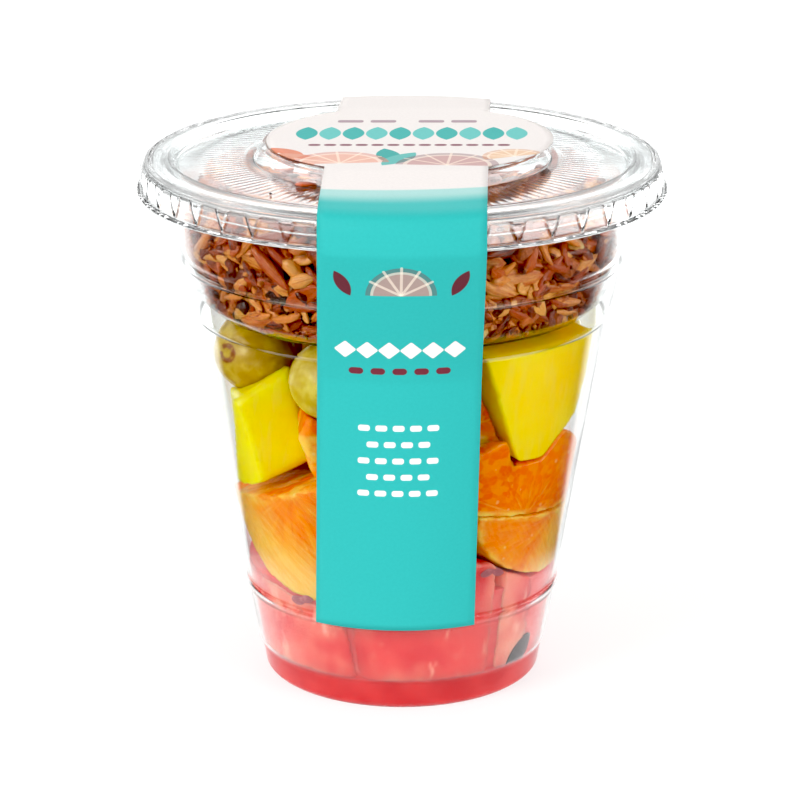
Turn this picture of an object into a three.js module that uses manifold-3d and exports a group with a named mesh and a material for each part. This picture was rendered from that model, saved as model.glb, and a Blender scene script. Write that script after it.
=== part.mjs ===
// A cup of cut fruit with a tray of granola under its lid and a paper strap over the top.
// Millimetres, +Z up. The origin is the middle of the foot, and the front of the strap faces -Y.
//
// The clear cup holds, from the bottom up, watermelon, orange, mango and grapes. A shallow
// clear tray full of granola hangs from the cup's rim, and a snap-on lid closes both.

import * as THREE from "three";
import { mergeVertices } from "three/addons/utils/BufferGeometryUtils.js";
import Module from "manifold-3d";

const wasm = await Module();
wasm.setup();

// ---------------------------------------------------------------- driving dimensions

const SIDES = 32; // facets round the cup and the tray
const GAP = 0.3; // free space left between pieces that touch

// Cup: a thermoformed cone that steps outwards at its stacking rings.
const CUP_WALL = 0.7;
const CONE_FOOT_RADIUS = 27.7; // the cone's outside, carried down to the ground
const CONE_SLOPE = 0.165; // outward run for each millimetre of height
const FOOT_HEIGHT = 6; // the foot below its small step
const FOOT_STEP = 0.5;
const FLOOR_HEIGHT = 5; // underside of the floor, raised inside the foot
const FLOOR_RADIUS = 21.5;
const BEAD_HEIGHT = 18.5; // low bead that stops stacked cups from jamming
const BEAD_RISE = 0.6;
const RING_HEIGHT = 73.8; // first step under the granola
const RING_STEP = 0.8;
const SHOULDER_HEIGHT = 84.6; // second step, half way up the granola
const SHOULDER_STEP = 1.2;
const RIM_BASE = 100.2;
const RIM_TOP = 102.3;
const RIM_RADIUS = 49;
const RIM_INNER_RADIUS = 45.9;

// Tray: a clear dish whose flange lies on the cup's rim.
const TRAY_WALL = 0.5;
const TRAY_FLOOR = 75.3; // underside
const TRAY_FOOT_RADIUS = 39.8;
const TRAY_CORNER = 3;
const TRAY_SHOULDER_RADIUS = 42.1; // just above the cup's shoulder
const TRAY_MOUTH_RADIUS = 45;
const TRAY_FLANGE_RADIUS = 48.4;
const TRAY_FLANGE_BASE = RIM_TOP + GAP;

// Lid: a flat panel with a raised middle and a raised band over the rim.
const LID_WALL = 0.6;
const PANEL_TOP = 103.4;
const PLATEAU_TOP = 106.6;
const PLATEAU_RADIUS = 27.3;
const PLATEAU_FOOT_RADIUS = 28.5;
const BAND_TOP = 104.3;
const BAND_INNER_RADIUS = 44.4;
const BAND_OUTER_RADIUS = 48.2;
const SKIRT_RADIUS = 50;
const LID_RADIUS = 51; // the small flange at the skirt's foot
const SKIRT_BASE = 97.6;
const FLANGE_THICKNESS = 0.7;
const LUG_COUNT = 44; // upright lugs round the skirt, one on each facet of the lid
const LUG_WIDTH = 1.3;
const LUG_RISE = 0.6;
const LUG_HEIGHT = 3.4;
const LUG_LIFT = 0.1; // from the skirt's lowest edge, inside the flange's thickness

// Strap: one strip of paper with a round seal in its middle.
const PAPER = 0.3;
const STRAP_WIDTH = 30.3;
const SEAL_RADIUS = 27.5;
const STRAP_END = 18.4; // height of its two ends
const STRAP_SHIFT = 1.5; // sideways shift of the seal from the axis
const STRAP_SKEW = 0.031; // sideways run for each millimetre along the lid
const STRAP_WALL_SKEW = 0.016; // and for each millimetre down the wall
const STRAP_END_LIFT = 0.9; // its stiff ends stand a little off the wall
const STRAP_COLUMNS = 6;

// Granola: a heap in the tray, with oat flakes and nut pieces at its sides and top.
const HEAP_TOP = 94.4;
const HEAP_SIDE_INSET = 2.6; // from the tray's wall to the packed middle of the heap
const FLAKE = { length: 10.4, width: 7.2, thickness: 3.6 };
const SIDE_ROWS = 4;
const FLAKES_IN_ROW = 17;
const TOP_FLAKES = 32;

// Fruit: how it was cut, and how closely it is packed.
const CUT_EDGE = 1.2; // worn corner of a cut face
const PRESSED_GAP = 1.6 * GAP; // free space between two pieces pressed together
const GRAPE_SIDES = 10;
const WALL_LEAN = 9; // degrees that the cup's wall leans outwards

// ---------------------------------------------------------------- solids

// A closed geometry as a manifold solid.
function toSolid(geometry) {
  const bare = geometry.clone();
  bare.deleteAttribute("normal");
  bare.deleteAttribute("uv");
  const merged = mergeVertices(bare, 1e-4);
  return new wasm.Manifold(
    new wasm.Mesh({
      numProp: 3,
      vertProperties: Float32Array.from(merged.attributes.position.array),
      triVerts: Uint32Array.from(merged.index.array),
    }),
  );
}

// A manifold solid as a geometry with flat facets.
function toGeometry(solid) {
  const mesh = solid.getMesh();
  const geometry = new THREE.BufferGeometry();
  geometry.setAttribute("position", new THREE.BufferAttribute(mesh.vertProperties, 3));
  geometry.setIndex(new THREE.BufferAttribute(mesh.triVerts, 1));
  const faceted = geometry.toNonIndexed();
  faceted.computeVertexNormals();
  return faceted;
}

// The largest body of a solid: what is cut loose from it is a crumb and is dropped.
function largestBody(solid) {
  const bodies = solid.decompose();
  return bodies.reduce((best, body) => (body.volume() > best.volume() ? body : best));
}

// A profile of [radius, height] points turned about the vertical axis.
function turned(profile, sides = SIDES) {
  const points = profile.map(([radius, height]) => new THREE.Vector2(radius, height));
  const lathe = new THREE.LatheGeometry(points, sides);
  lathe.rotateX(Math.PI / 2);
  return lathe;
}

// ---------------------------------------------------------------- the cup's shape

// Radius of the cup's outside at a height, without the bead.
function cupRadius(height) {
  const cone = CONE_FOOT_RADIUS + CONE_SLOPE * height;
  if (height < FOOT_HEIGHT) return cone - FOOT_STEP;
  if (height < RING_HEIGHT) return cone;
  if (height < SHOULDER_HEIGHT) return cone + RING_STEP;
  return Math.min(cone + RING_STEP + SHOULDER_STEP, RIM_INNER_RADIUS + CUP_WALL);
}

// A step in the wall takes one millimetre of height, half of it to each side of its ring.
const STEP_RUN = 0.5;

function stepPoints(height) {
  return [
    [cupRadius(height - STEP_RUN), height - STEP_RUN],
    [cupRadius(height + STEP_RUN), height + STEP_RUN],
  ];
}

function cupOutside() {
  const bead = CONE_FOOT_RADIUS + CONE_SLOPE * BEAD_HEIGHT + BEAD_RISE;
  return [
    [0, FLOOR_HEIGHT],
    [FLOOR_RADIUS, FLOOR_HEIGHT],
    [FLOOR_RADIUS + 2.6, 0.8],
    [FLOOR_RADIUS + 3.3, 0],
    [cupRadius(0) - 0.8, 0],
    [cupRadius(0.8), 0.8],
    ...stepPoints(FOOT_HEIGHT),
    [cupRadius(BEAD_HEIGHT - 1), BEAD_HEIGHT - 1],
    [bead, BEAD_HEIGHT],
    [cupRadius(BEAD_HEIGHT + 1), BEAD_HEIGHT + 1],
    ...stepPoints(RING_HEIGHT),
    ...stepPoints(SHOULDER_HEIGHT),
    [RIM_INNER_RADIUS + CUP_WALL, RIM_BASE - 0.4],
  ];
}

// The inside wall, from the rim down to the floor.
function cupInside() {
  const inner = (point) => [point[0] - CUP_WALL, point[1]];
  return [
    [RIM_INNER_RADIUS, RIM_TOP - 0.6],
    inner(stepPoints(SHOULDER_HEIGHT)[1]),
    inner(stepPoints(SHOULDER_HEIGHT)[0]),
    inner(stepPoints(RING_HEIGHT)[1]),
    inner(stepPoints(RING_HEIGHT)[0]),
    inner(stepPoints(FOOT_HEIGHT)[1]),
    [cupRadius(1) - CUP_WALL, 1.2],
    [cupRadius(1) - CUP_WALL - 0.6, CUP_WALL],
    [FLOOR_RADIUS + 3.6, CUP_WALL],
    [FLOOR_RADIUS + 3.1, CUP_WALL + 0.4],
    [FLOOR_RADIUS + 0.4, FLOOR_HEIGHT + CUP_WALL],
    [0, FLOOR_HEIGHT + CUP_WALL],
  ];
}

function cup() {
  const rim = [
    [RIM_RADIUS - 0.6, RIM_BASE - 0.5],
    [RIM_RADIUS, RIM_BASE + 0.1],
    [RIM_RADIUS, RIM_TOP - 0.6],
    [RIM_RADIUS - 0.6, RIM_TOP],
    [RIM_INNER_RADIUS + 0.6, RIM_TOP],
  ];
  return turned([...cupOutside(), ...rim, ...cupInside()]);
}

// ---------------------------------------------------------------- the tray

// The tray's outside from the middle of its floor to its mouth. A positive inset moves
// every point inwards and up, which gives the inside of its wall, and then of the heap.
function trayOutline(inset) {
  const corner = TRAY_CORNER - inset;
  const centre = [TRAY_FOOT_RADIUS - TRAY_CORNER, TRAY_FLOOR + TRAY_CORNER];
  const round = [0, 0.5, 1].map((part) => {
    const angle = (part * Math.PI) / 2;
    return [centre[0] + corner * Math.sin(angle), centre[1] - corner * Math.cos(angle)];
  });
  return [[0, TRAY_FLOOR + inset], ...round];
}

// The step in the tray's wall, beside the shoulder of the cup.
function trayWall(inset) {
  const middle = (TRAY_FOOT_RADIUS + TRAY_SHOULDER_RADIUS) / 2;
  return [
    [middle - inset, SHOULDER_HEIGHT - STEP_RUN],
    [TRAY_SHOULDER_RADIUS - inset, SHOULDER_HEIGHT + 2 * STEP_RUN],
  ];
}

// Radius of the inside of the tray's wall at a height above its rounded corner.
function trayInnerRadius(height) {
  const wall = [
    [TRAY_FOOT_RADIUS, TRAY_FLOOR + TRAY_CORNER],
    ...trayWall(0),
    [TRAY_MOUTH_RADIUS, TRAY_FLANGE_BASE],
  ];
  const above = Math.max(wall.findIndex((point) => point[1] > height), 1);
  const [low, high] = [wall[above - 1], wall[above]];
  const part = (height - low[1]) / (high[1] - low[1]);
  return low[0] + (high[0] - low[0]) * part - TRAY_WALL;
}

function tray() {
  return turned([
    ...trayOutline(0),
    ...trayWall(0),
    [TRAY_MOUTH_RADIUS, TRAY_FLANGE_BASE - 0.4],
    [TRAY_MOUTH_RADIUS + 0.6, TRAY_FLANGE_BASE],
    [TRAY_FLANGE_RADIUS, TRAY_FLANGE_BASE],
    [TRAY_FLANGE_RADIUS, TRAY_FLANGE_BASE + TRAY_WALL],
    [TRAY_MOUTH_RADIUS, TRAY_FLANGE_BASE + TRAY_WALL],
    [TRAY_MOUTH_RADIUS - TRAY_WALL, TRAY_FLANGE_BASE],
    ...trayWall(TRAY_WALL).reverse(),
    ...trayOutline(TRAY_WALL).reverse(),
  ]);
}

// ---------------------------------------------------------------- the lid

// The lid's wall: under the plateau, panel and band to the skirt's foot, and back on top.
function lidProfile() {
  const inside = SKIRT_RADIUS - LID_WALL - 0.1;
  const skirtTop = BAND_TOP - 1.8;
  const lower = [
    [0, PLATEAU_TOP - LID_WALL],
    [PLATEAU_RADIUS - 1, PLATEAU_TOP - LID_WALL],
    [PLATEAU_FOOT_RADIUS - 0.5, PANEL_TOP - LID_WALL],
    [BAND_INNER_RADIUS - 0.9, PANEL_TOP - LID_WALL],
    [BAND_INNER_RADIUS + 0.3, BAND_TOP - LID_WALL],
    [BAND_OUTER_RADIUS - 0.2, BAND_TOP - LID_WALL],
    [inside, skirtTop],
    [inside, SKIRT_BASE],
  ];
  const upper = [
    [LID_RADIUS, SKIRT_BASE],
    [LID_RADIUS, SKIRT_BASE + FLANGE_THICKNESS],
    [SKIRT_RADIUS, SKIRT_BASE + FLANGE_THICKNESS],
    [SKIRT_RADIUS, skirtTop],
    [SKIRT_RADIUS - 0.6, BAND_TOP - 0.6],
    [BAND_OUTER_RADIUS, BAND_TOP],
    [BAND_INNER_RADIUS, BAND_TOP],
    [BAND_INNER_RADIUS - 1.2, PANEL_TOP],
    [PLATEAU_FOOT_RADIUS, PANEL_TOP],
    [PLATEAU_RADIUS, PLATEAU_TOP - 0.6],
    [PLATEAU_RADIUS - 0.6, PLATEAU_TOP],
    [0, PLATEAU_TOP],
  ];
  return [...lower, ...upper];
}

// The lid with its upright lugs, each standing on the flange at the middle of a facet.
function lid() {
  const solids = [toSolid(turned(lidProfile(), LUG_COUNT))];
  for (let index = 0; index < LUG_COUNT; index += 1) {
    const lug = new THREE.BoxGeometry(LUG_WIDTH, 2 * LUG_RISE, LUG_HEIGHT);
    lug.translate(0, -SKIRT_RADIUS, SKIRT_BASE + LUG_HEIGHT / 2 + LUG_LIFT);
    lug.rotateZ(((index + 0.5) * 2 * Math.PI) / LUG_COUNT);
    solids.push(toSolid(lug));
  }
  return toGeometry(wasm.Manifold.union(solids));
}

// ---------------------------------------------------------------- the strap

// The strap's rows from the seal over the lid's rim and down the wall. A flat row has a
// distance along Y, and a curved one bends round the axis at its radius.
function strapRows() {
  const clear = GAP + PAPER / 2;
  const onSeal = PLATEAU_TOP + clear;
  const onBand = BAND_TOP + clear;
  const ring = RING_HEIGHT + STEP_RUN;
  const rows = [
    { flat: 0, height: onSeal },
    { flat: PLATEAU_RADIUS - 1, height: onSeal },
    { flat: PLATEAU_FOOT_RADIUS, height: onSeal - 0.3 },
    { radius: BAND_OUTER_RADIUS, height: onBand + 0.05 },
    { radius: SKIRT_RADIUS, height: BAND_TOP - 0.2 },
    { radius: LID_RADIUS, height: BAND_TOP - 2.2 },
    { radius: LID_RADIUS + clear, height: SKIRT_BASE + FLANGE_THICKNESS },
    { radius: LID_RADIUS + clear, height: SKIRT_BASE - 0.4 },
    { radius: cupRadius(ring) + clear, height: ring },
  ];
  const steps = 5;
  for (let step = 1; step <= steps; step += 1) {
    const part = step / steps;
    const height = ring + (STRAP_END - ring) * part;
    const lift = STRAP_END_LIFT * part;
    rows.push({ radius: CONE_FOOT_RADIUS + CONE_SLOPE * height + clear + lift, height });
  }
  return rows;
}

// How far the strap has run sideways at a row: it lies slightly askew on the lid, and a
// little less so on the wall.
function strapMiddle(row, side) {
  const reach = Math.min(row.flat ?? row.radius, LID_RADIUS);
  const onLid = row.height > SKIRT_BASE ? reach : LID_RADIUS;
  const drop = Math.max(SKIRT_BASE - row.height, 0);
  return STRAP_SHIFT + side * (STRAP_SKEW * onLid + STRAP_WALL_SKEW * drop);
}

// One half of the strap's middle surface, as rows of points. side is -1 in front, +1 behind.
function strapHalf(side) {
  return strapRows().map((row) => {
    const reach = side * (row.flat ?? row.radius);
    const middle = strapMiddle(row, side);
    const points = [];
    for (let column = 0; column <= STRAP_COLUMNS; column += 1) {
      const x = middle + STRAP_WIDTH * (column / STRAP_COLUMNS - 0.5);
      const y = row.radius ? side * Math.sqrt(row.radius ** 2 - x ** 2) : reach;
      points.push(new THREE.Vector3(x, y, row.height));
    }
    return points;
  });
}

// A sheet of points given a thickness, half of it to each side.
function thickSheet(rows, thickness) {
  const columns = rows[0].length;
  const layer = rows.length * columns;
  const positions = [];
  for (const side of [1, -1]) {
    rows.forEach((row, r) => {
      row.forEach((point, c) => {
        const before = rows[Math.max(r - 1, 0)][c];
        const after = rows[Math.min(r + 1, rows.length - 1)][c];
        const along = after.clone().sub(before);
        const across = row[Math.min(c + 1, columns - 1)].clone().sub(row[Math.max(c - 1, 0)]);
        const normal = across.cross(along).normalize();
        const moved = point.clone().addScaledVector(normal, (side * thickness) / 2);
        positions.push(moved.x, moved.y, moved.z);
      });
    });
  }
  const faces = [];
  const quad = (a, b, c, d) => faces.push(a, b, c, a, c, d);
  const at = (r, c, lower) => lower * layer + r * columns + c;
  const last = rows.length - 1;
  for (let r = 0; r < last; r += 1) {
    for (let c = 0; c < columns - 1; c += 1) {
      quad(at(r, c, 0), at(r, c + 1, 0), at(r + 1, c + 1, 0), at(r + 1, c, 0));
      quad(at(r, c, 1), at(r + 1, c, 1), at(r + 1, c + 1, 1), at(r, c + 1, 1));
    }
    const edge = columns - 1;
    quad(at(r, 0, 0), at(r + 1, 0, 0), at(r + 1, 0, 1), at(r, 0, 1));
    quad(at(r, edge, 0), at(r, edge, 1), at(r + 1, edge, 1), at(r + 1, edge, 0));
  }
  for (let c = 0; c < columns - 1; c += 1) {
    quad(at(0, c, 0), at(0, c, 1), at(0, c + 1, 1), at(0, c + 1, 0));
    quad(at(last, c, 0), at(last, c + 1, 0), at(last, c + 1, 1), at(last, c, 1));
  }
  const sheet = new THREE.BufferGeometry();
  sheet.setAttribute("position", new THREE.Float32BufferAttribute(positions, 3));
  sheet.setIndex(faces);
  return sheet;
}

function strap() {
  const behind = strapHalf(1).slice(1).reverse();
  const strip = toSolid(thickSheet([...behind, ...strapHalf(-1)], PAPER));
  const seal = new THREE.CylinderGeometry(SEAL_RADIUS, SEAL_RADIUS, PAPER, SIDES);
  seal.rotateX(Math.PI / 2);
  seal.translate(STRAP_SHIFT, 0, PLATEAU_TOP + GAP + PAPER / 2);
  return toGeometry(strip.add(toSolid(seal)));
}

// ---------------------------------------------------------------- the granola

// A small seeded generator, so that the heap comes out the same every time.
function seeded(seed) {
  let state = seed;
  return () => {
    state = (Math.imul(state, 1664525) + 1013904223) >>> 0;
    return state / 4294967296;
  };
}

// One toasted flake, lying flat in its own X-Y plane: six-sided, thin at its edge, and
// drawn between three quarters and the whole of the largest.
function flake(random) {
  const size = 0.75 + 0.25 * random();
  const shape = new THREE.SphereGeometry(0.5, 6, 2);
  shape.rotateX(Math.PI / 2);
  shape.rotateZ(2 * Math.PI * random());
  shape.scale(FLAKE.length * size, FLAKE.width * (0.7 + 0.3 * random()), FLAKE.thickness * size);
  return shape;
}

function granola() {
  const random = seeded(7);
  const spread = (amount) => amount * (2 * random() - 1);
  const inset = TRAY_WALL + HEAP_SIDE_INSET;
  const foot = TRAY_FLOOR + TRAY_CORNER;
  const core = turned(
    [
      [0, TRAY_FLOOR + TRAY_WALL + GAP],
      [TRAY_FOOT_RADIUS - TRAY_CORNER - 1, TRAY_FLOOR + TRAY_WALL + GAP],
      [trayInnerRadius(foot) - HEAP_SIDE_INSET, foot],
      [trayInnerRadius(HEAP_TOP) - HEAP_SIDE_INSET - 1, HEAP_TOP - 1.6],
      [TRAY_FOOT_RADIUS - inset - 2, HEAP_TOP],
      [0, HEAP_TOP],
    ],
    18,
  );
  const pieces = [toSolid(core)];
  const lowest = TRAY_FLOOR + TRAY_WALL + GAP + FLAKE.width / 2 + 0.2;
  const rowStep = (HEAP_TOP - 2 - lowest) / (SIDE_ROWS - 1);
  for (let row = 0; row < SIDE_ROWS; row += 1) {
    for (let index = 0; index < FLAKES_IN_ROW; index += 1) {
      const height = lowest + rowStep * row + (row ? spread(0.9) : 0);
      const azimuth = ((index + 0.5 * (row % 2) + spread(0.2)) * 2 * Math.PI) / FLAKES_IN_ROW;
      const reach = trayInnerRadius(Math.max(height - 1.2, foot)) - GAP - FLAKE.thickness / 2 - 0.45;
      const side = flake(random);
      side.rotateZ(row ? spread(1) : spread(0.25));
      side.rotateX(Math.PI / 2 + Math.atan(CONE_SLOPE) + spread(0.08));
      side.translate(0, -reach, height);
      side.rotateZ(azimuth);
      pieces.push(toSolid(side));
    }
  }
  // The top flakes follow a sunflower spiral, which spreads them evenly over the disc.
  const golden = Math.PI * (3 - Math.sqrt(5));
  const topReach = trayInnerRadius(HEAP_TOP) - FLAKE.length / 2 - 0.9;
  for (let index = 0; index < TOP_FLAKES; index += 1) {
    const top = flake(random);
    top.rotateX(spread(0.55));
    top.rotateY(spread(0.35));
    top.rotateZ(2 * Math.PI * random());
    const reach = topReach * Math.sqrt((index + 0.5) / TOP_FLAKES);
    const turn = index * golden;
    top.translate(reach * Math.cos(turn), reach * Math.sin(turn), HEAP_TOP + 0.3 + spread(0.5));
    pieces.push(toSolid(top));
  }
  return toGeometry(largestBody(wasm.Manifold.union(pieces)));
}

// ---------------------------------------------------------------- the fruit

// The space for the fruit: from the raised floor to the tray, less the gap.
function fruitSpace() {
  const floor = FLOOR_HEIGHT + CUP_WALL + GAP;
  const top = TRAY_FLOOR - GAP;
  const wall = (height) => [cupRadius(height) - CUP_WALL - GAP, height];
  return toSolid(
    turned([
      [0, floor],
      [wall(FOOT_HEIGHT - STEP_RUN)[0], floor],
      wall(FOOT_HEIGHT + 2 * STEP_RUN),
      wall(RING_HEIGHT - STEP_RUN),
      wall(RING_HEIGHT + STEP_RUN),
      [wall(RING_HEIGHT + STEP_RUN)[0], top],
      [0, top],
    ]),
  );
}

// Puts a shape, drawn with X to the right, Y up and Z outwards, into the cup. place gives
// its azimuth from the front (to the right), its distance from the axis and its height;
// facing is the azimuth that its Z looks to, lean tips its top outwards, and roll turns it.
function placed(shape, place) {
  const { azimuth, reach, height, facing = azimuth, lean = WALL_LEAN, roll = 0 } = place;
  const turn = THREE.MathUtils.degToRad;
  shape.rotateZ(turn(roll));
  shape.rotateX(turn(lean));
  shape.rotateX(Math.PI / 2);
  shape.rotateZ(turn(facing));
  shape.translate(reach * Math.sin(turn(azimuth)), -reach * Math.cos(turn(azimuth)), height);
  return shape;
}

// A flat outline pulled to a depth, with worn corners, and centred on its own plane.
function cutSlab(outline, depth, curveSegments) {
  const slab = new THREE.ExtrudeGeometry(outline, {
    depth: depth - 2 * CUT_EDGE,
    bevelThickness: CUT_EDGE,
    bevelSize: CUT_EDGE,
    bevelOffset: -CUT_EDGE,
    bevelSegments: 1,
    curveSegments,
  });
  slab.translate(0, 0, CUT_EDGE - depth / 2);
  return slab;
}

// A chunk cut with a knife, from the corners of its outer face.
function cutChunk({ corners, depth }, swell) {
  const moved = (value) => value + Math.sign(value) * swell;
  const outline = new THREE.Shape(corners.map(([x, y]) => new THREE.Vector2(moved(x), moved(y))));
  return cutSlab(outline, depth + 2 * swell);
}

// A slice of peeled orange, cut straight across its lower side. part is the share of the
// full round that it keeps.
function orangeSlice({ halves: [halfWidth, halfHeight], depth, part }, swell) {
  const outline = new THREE.Shape();
  const start = Math.PI * (0.5 - part);
  outline.absellipse(0, 0, halfWidth + swell, halfHeight + swell, start, Math.PI - start, false, 0);
  return cutSlab(outline, depth + 2 * swell, 6);
}

// A grape, longest along its X.
function grape({ halves: [halfLength, halfHeight, halfDepth] }, swell) {
  const berry = new THREE.SphereGeometry(1, GRAPE_SIDES, 7);
  berry.rotateZ(Math.PI / 2);
  berry.scale(halfLength + swell, halfHeight + swell, halfDepth + swell);
  return berry;
}

const SHAPES = { watermelon: cutChunk, mango: cutChunk, orange: orangeSlice, grape };

// A block of a width and a height, with its corners pushed a little off square.
function block(width, height, skew = 0) {
  const [x, y] = [width / 2, height / 2];
  return [
    [-x + skew, -y],
    [x, -y + skew],
    [x - skew, y],
    [-x, y - skew],
  ];
}

// One piece of fruit: its kind, its own sizes and its place in the cup.
function fruit(kind, sizes, azimuth, reach, height, turns = {}) {
  return { kind, sizes, place: { azimuth, reach, height, ...turns } };
}

// A mango stick and a mango wedge stand in front, each with an outline of its own.
const MANGO_STICK = [[-4, -11.6], [9, -6], [4.2, 12], [-5.8, 6.6]];
const MANGO_WEDGE = [
  [-13, 11.8],
  [-4.4, -8.5],
  [-2.6, -11.2],
  [3, -11.6],
  [7.5, -8.4],
  [13, -5.4],
  [15.5, 2],
  [15.5, 11.8],
];

// Every piece of fruit, from the top down. An earlier piece keeps its shape, and a later
// one is pressed against it: it gives way wherever the two would meet.
const FRUIT = [
  fruit("grape", { halves: [10.5, 8.1, 8.6] }, -82, 28.3, 65.9, { lean: 0 }),
  fruit("grape", { halves: [9, 7.9, 8.6] }, -25, 29.2, 66.8, { lean: 0 }),
  fruit("grape", { halves: [10.8, 7.7, 8] }, 102, 28.2, 66.6, { lean: 0, roll: 8 }),
  fruit("grape", { halves: [10, 7.8, 8.4] }, 172, 28.6, 66.8, { lean: 0, roll: -6 }),
  fruit("grape", { halves: [11, 7.6, 8.3] }, -128, 28.4, 66.9, { lean: 0, roll: 5 }),
  fruit("grape", { halves: [10.2, 7.7, 8.4] }, 40, 5, 66.8, { lean: 0 }),

  fruit("mango", { corners: MANGO_STICK, depth: 16 }, -65.6, 29.1, 53.5, { facing: 11, lean: -9 }),
  fruit("mango", { corners: MANGO_WEDGE, depth: 18 }, 43, 29.5, 63),
  fruit("mango", { corners: block(19, 24, 2), depth: 17 }, 140, 28, 59, { roll: 14 }),
  fruit("mango", { corners: block(22, 19, -2), depth: 18 }, -158, 27, 55, { roll: -9 }),
  fruit("mango", { corners: block(18, 20, 1.5), depth: 17 }, 98, 19, 50, { roll: 20 }),

  fruit("orange", { halves: [21, 17], part: 1, depth: 13 }, 3, 23, 57),
  fruit("orange", { halves: [21, 24], part: 0.5, depth: 15 }, -38, 26.5, 46, { roll: 200 }),
  fruit("orange", { halves: [21, 18], part: 0.5, depth: 16 }, 44, 27, 39.8, { roll: -9 }),
  fruit("orange", { halves: [20, 13], part: 0.5, depth: 16 }, 62, 26.5, 38, { roll: 171 }),
  fruit("orange", { halves: [20, 17], part: 0.5, depth: 15 }, 114, 21, 31, { roll: 12 }),
  fruit("orange", { halves: [21, 19], part: 0.6, depth: 15 }, 178, 26, 36, { roll: -10 }),
  fruit("orange", { halves: [18, 17], part: 0.55, depth: 15 }, -120, 20, 33, { roll: 12 }),

  fruit("watermelon", { corners: block(31, 25, 1), depth: 24 }, -52, 17, 13.2),
  fruit("watermelon", { corners: block(24, 31, -2), depth: 25 }, 8, 17, 16.5),
  fruit("watermelon", { corners: block(28, 33, 2), depth: 22 }, 66, 17, 16.5),
  fruit("watermelon", { corners: block(30, 27, -2), depth: 24 }, 134, 17, 14),
  fruit("watermelon", { corners: block(30, 29, 2), depth: 24 }, -150, 17, 15),
  fruit("watermelon", { corners: block(24, 26, 2), depth: 24 }, 0, 1, 44, { lean: 0 }),
];

// Each piece cut back from the ones before it and from the wall.
function fruitPieces() {
  const space = fruitSpace();
  const swollen = [];
  const counts = {};
  return FRUIT.map((piece) => {
    const shape = (swell) => toSolid(placed(SHAPES[piece.kind](piece.sizes, swell), piece.place));
    let solid = shape(0).intersect(space);
    for (const neighbour of swollen) solid = solid.subtract(neighbour);
    swollen.push(shape(PRESSED_GAP));
    counts[piece.kind] = (counts[piece.kind] ?? 0) + 1;
    return {
      name: `${piece.kind}_${counts[piece.kind]}`,
      kind: piece.kind,
      geometry: toGeometry(largestBody(solid)),
    };
  });
}

// ---------------------------------------------------------------- finishes and the group

function material(color, roughness, more = {}) {
  return new THREE.MeshStandardMaterial({ color, roughness, ...more });
}

const FINISHES = {
  clearPlastic: material(0xf2f6f7, 0.08, { transparent: true, opacity: 0.3 }),
  paper: material(0x38cdc5, 0.45),
  granola: material(0x9a5a30, 0.8),
  watermelon: material(0xe8484c, 0.3),
  orange: material(0xf59a1c, 0.35),
  mango: material(0xf5cf1e, 0.35),
  grape: material(0xb3b23a, 0.25),
};

function node(name, geometry, finish) {
  const mesh = new THREE.Mesh(geometry, FINISHES[finish]);
  mesh.name = name;
  return mesh;
}

const fruitCup = new THREE.Group();
fruitCup.add(node("cup", cup(), "clearPlastic"));
fruitCup.add(node("tray", tray(), "clearPlastic"));
fruitCup.add(node("lid", lid(), "clearPlastic"));
fruitCup.add(node("strap", strap(), "paper"));
fruitCup.add(node("granola", granola(), "granola"));
for (const piece of fruitPieces()) {
  fruitCup.add(node(piece.name, piece.geometry, piece.kind));
}

export default fruitCup;
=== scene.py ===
# %% [markdown]
# # A cup of cut fruit with a lid full of granola
#
# The object is a clear cold-drink cup of thermoformed plastic. From the foot up it holds
# watermelon, orange, mango and grapes. A shallow clear tray of granola hangs in its mouth,
# a snap-on lid closes both, and one strip of printed paper runs over the lid and down the cup.
#
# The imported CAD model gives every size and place. This script only dresses it: each CAD solid
# is replaced by a finer mesh that fills the same space, with a material of its own.

import math

import bmesh
import bpy
import numpy as np
from mathutils import Matrix, Vector


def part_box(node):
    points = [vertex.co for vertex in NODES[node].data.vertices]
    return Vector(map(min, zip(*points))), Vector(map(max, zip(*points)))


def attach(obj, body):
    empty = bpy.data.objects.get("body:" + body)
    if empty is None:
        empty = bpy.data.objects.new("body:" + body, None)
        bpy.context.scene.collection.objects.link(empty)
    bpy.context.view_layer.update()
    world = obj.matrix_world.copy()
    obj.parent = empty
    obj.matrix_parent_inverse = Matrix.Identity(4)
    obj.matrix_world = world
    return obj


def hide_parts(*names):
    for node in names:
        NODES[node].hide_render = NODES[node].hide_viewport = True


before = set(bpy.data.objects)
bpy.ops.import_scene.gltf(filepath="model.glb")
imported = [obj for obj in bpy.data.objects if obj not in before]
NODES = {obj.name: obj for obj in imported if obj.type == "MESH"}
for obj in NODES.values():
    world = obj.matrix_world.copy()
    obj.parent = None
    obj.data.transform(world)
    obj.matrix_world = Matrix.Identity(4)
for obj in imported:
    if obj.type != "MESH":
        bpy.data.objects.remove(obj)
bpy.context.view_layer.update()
print("CAD nodes:", len(NODES))

# %% [markdown]
# ## Small tools
#
# Colours are written as sRGB hex values, as a paint chart gives them. Blender's shaders count
# light, so one function turns a hex value into linear numbers. Another function adds a node to
# a tree, fills its sockets and sets its properties, and it serves shader and geometry trees. A
# node handed to it as a value stands for its own live output, so calls can be nested.

# %% Units, colours and nodes
MM = 0.001
SMOOTH = {"interpolation_type": "SMOOTHSTEP"}
COLOURS = {"data_type": "RGBA"}
NUMBERS = {"data_type": "FLOAT"}
SEEDED = {"noise_dimensions": "4D"}


def linear(code):
    """A hex colour such as "f2b544" as linear RGBA."""
    parts = [int(code[i:i + 2], 16) / 255 for i in (0, 2, 4)]
    return (*(c / 12.92 if c <= 0.04045 else ((c + 0.055) / 1.055) ** 2.4 for c in parts), 1.0)


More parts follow.
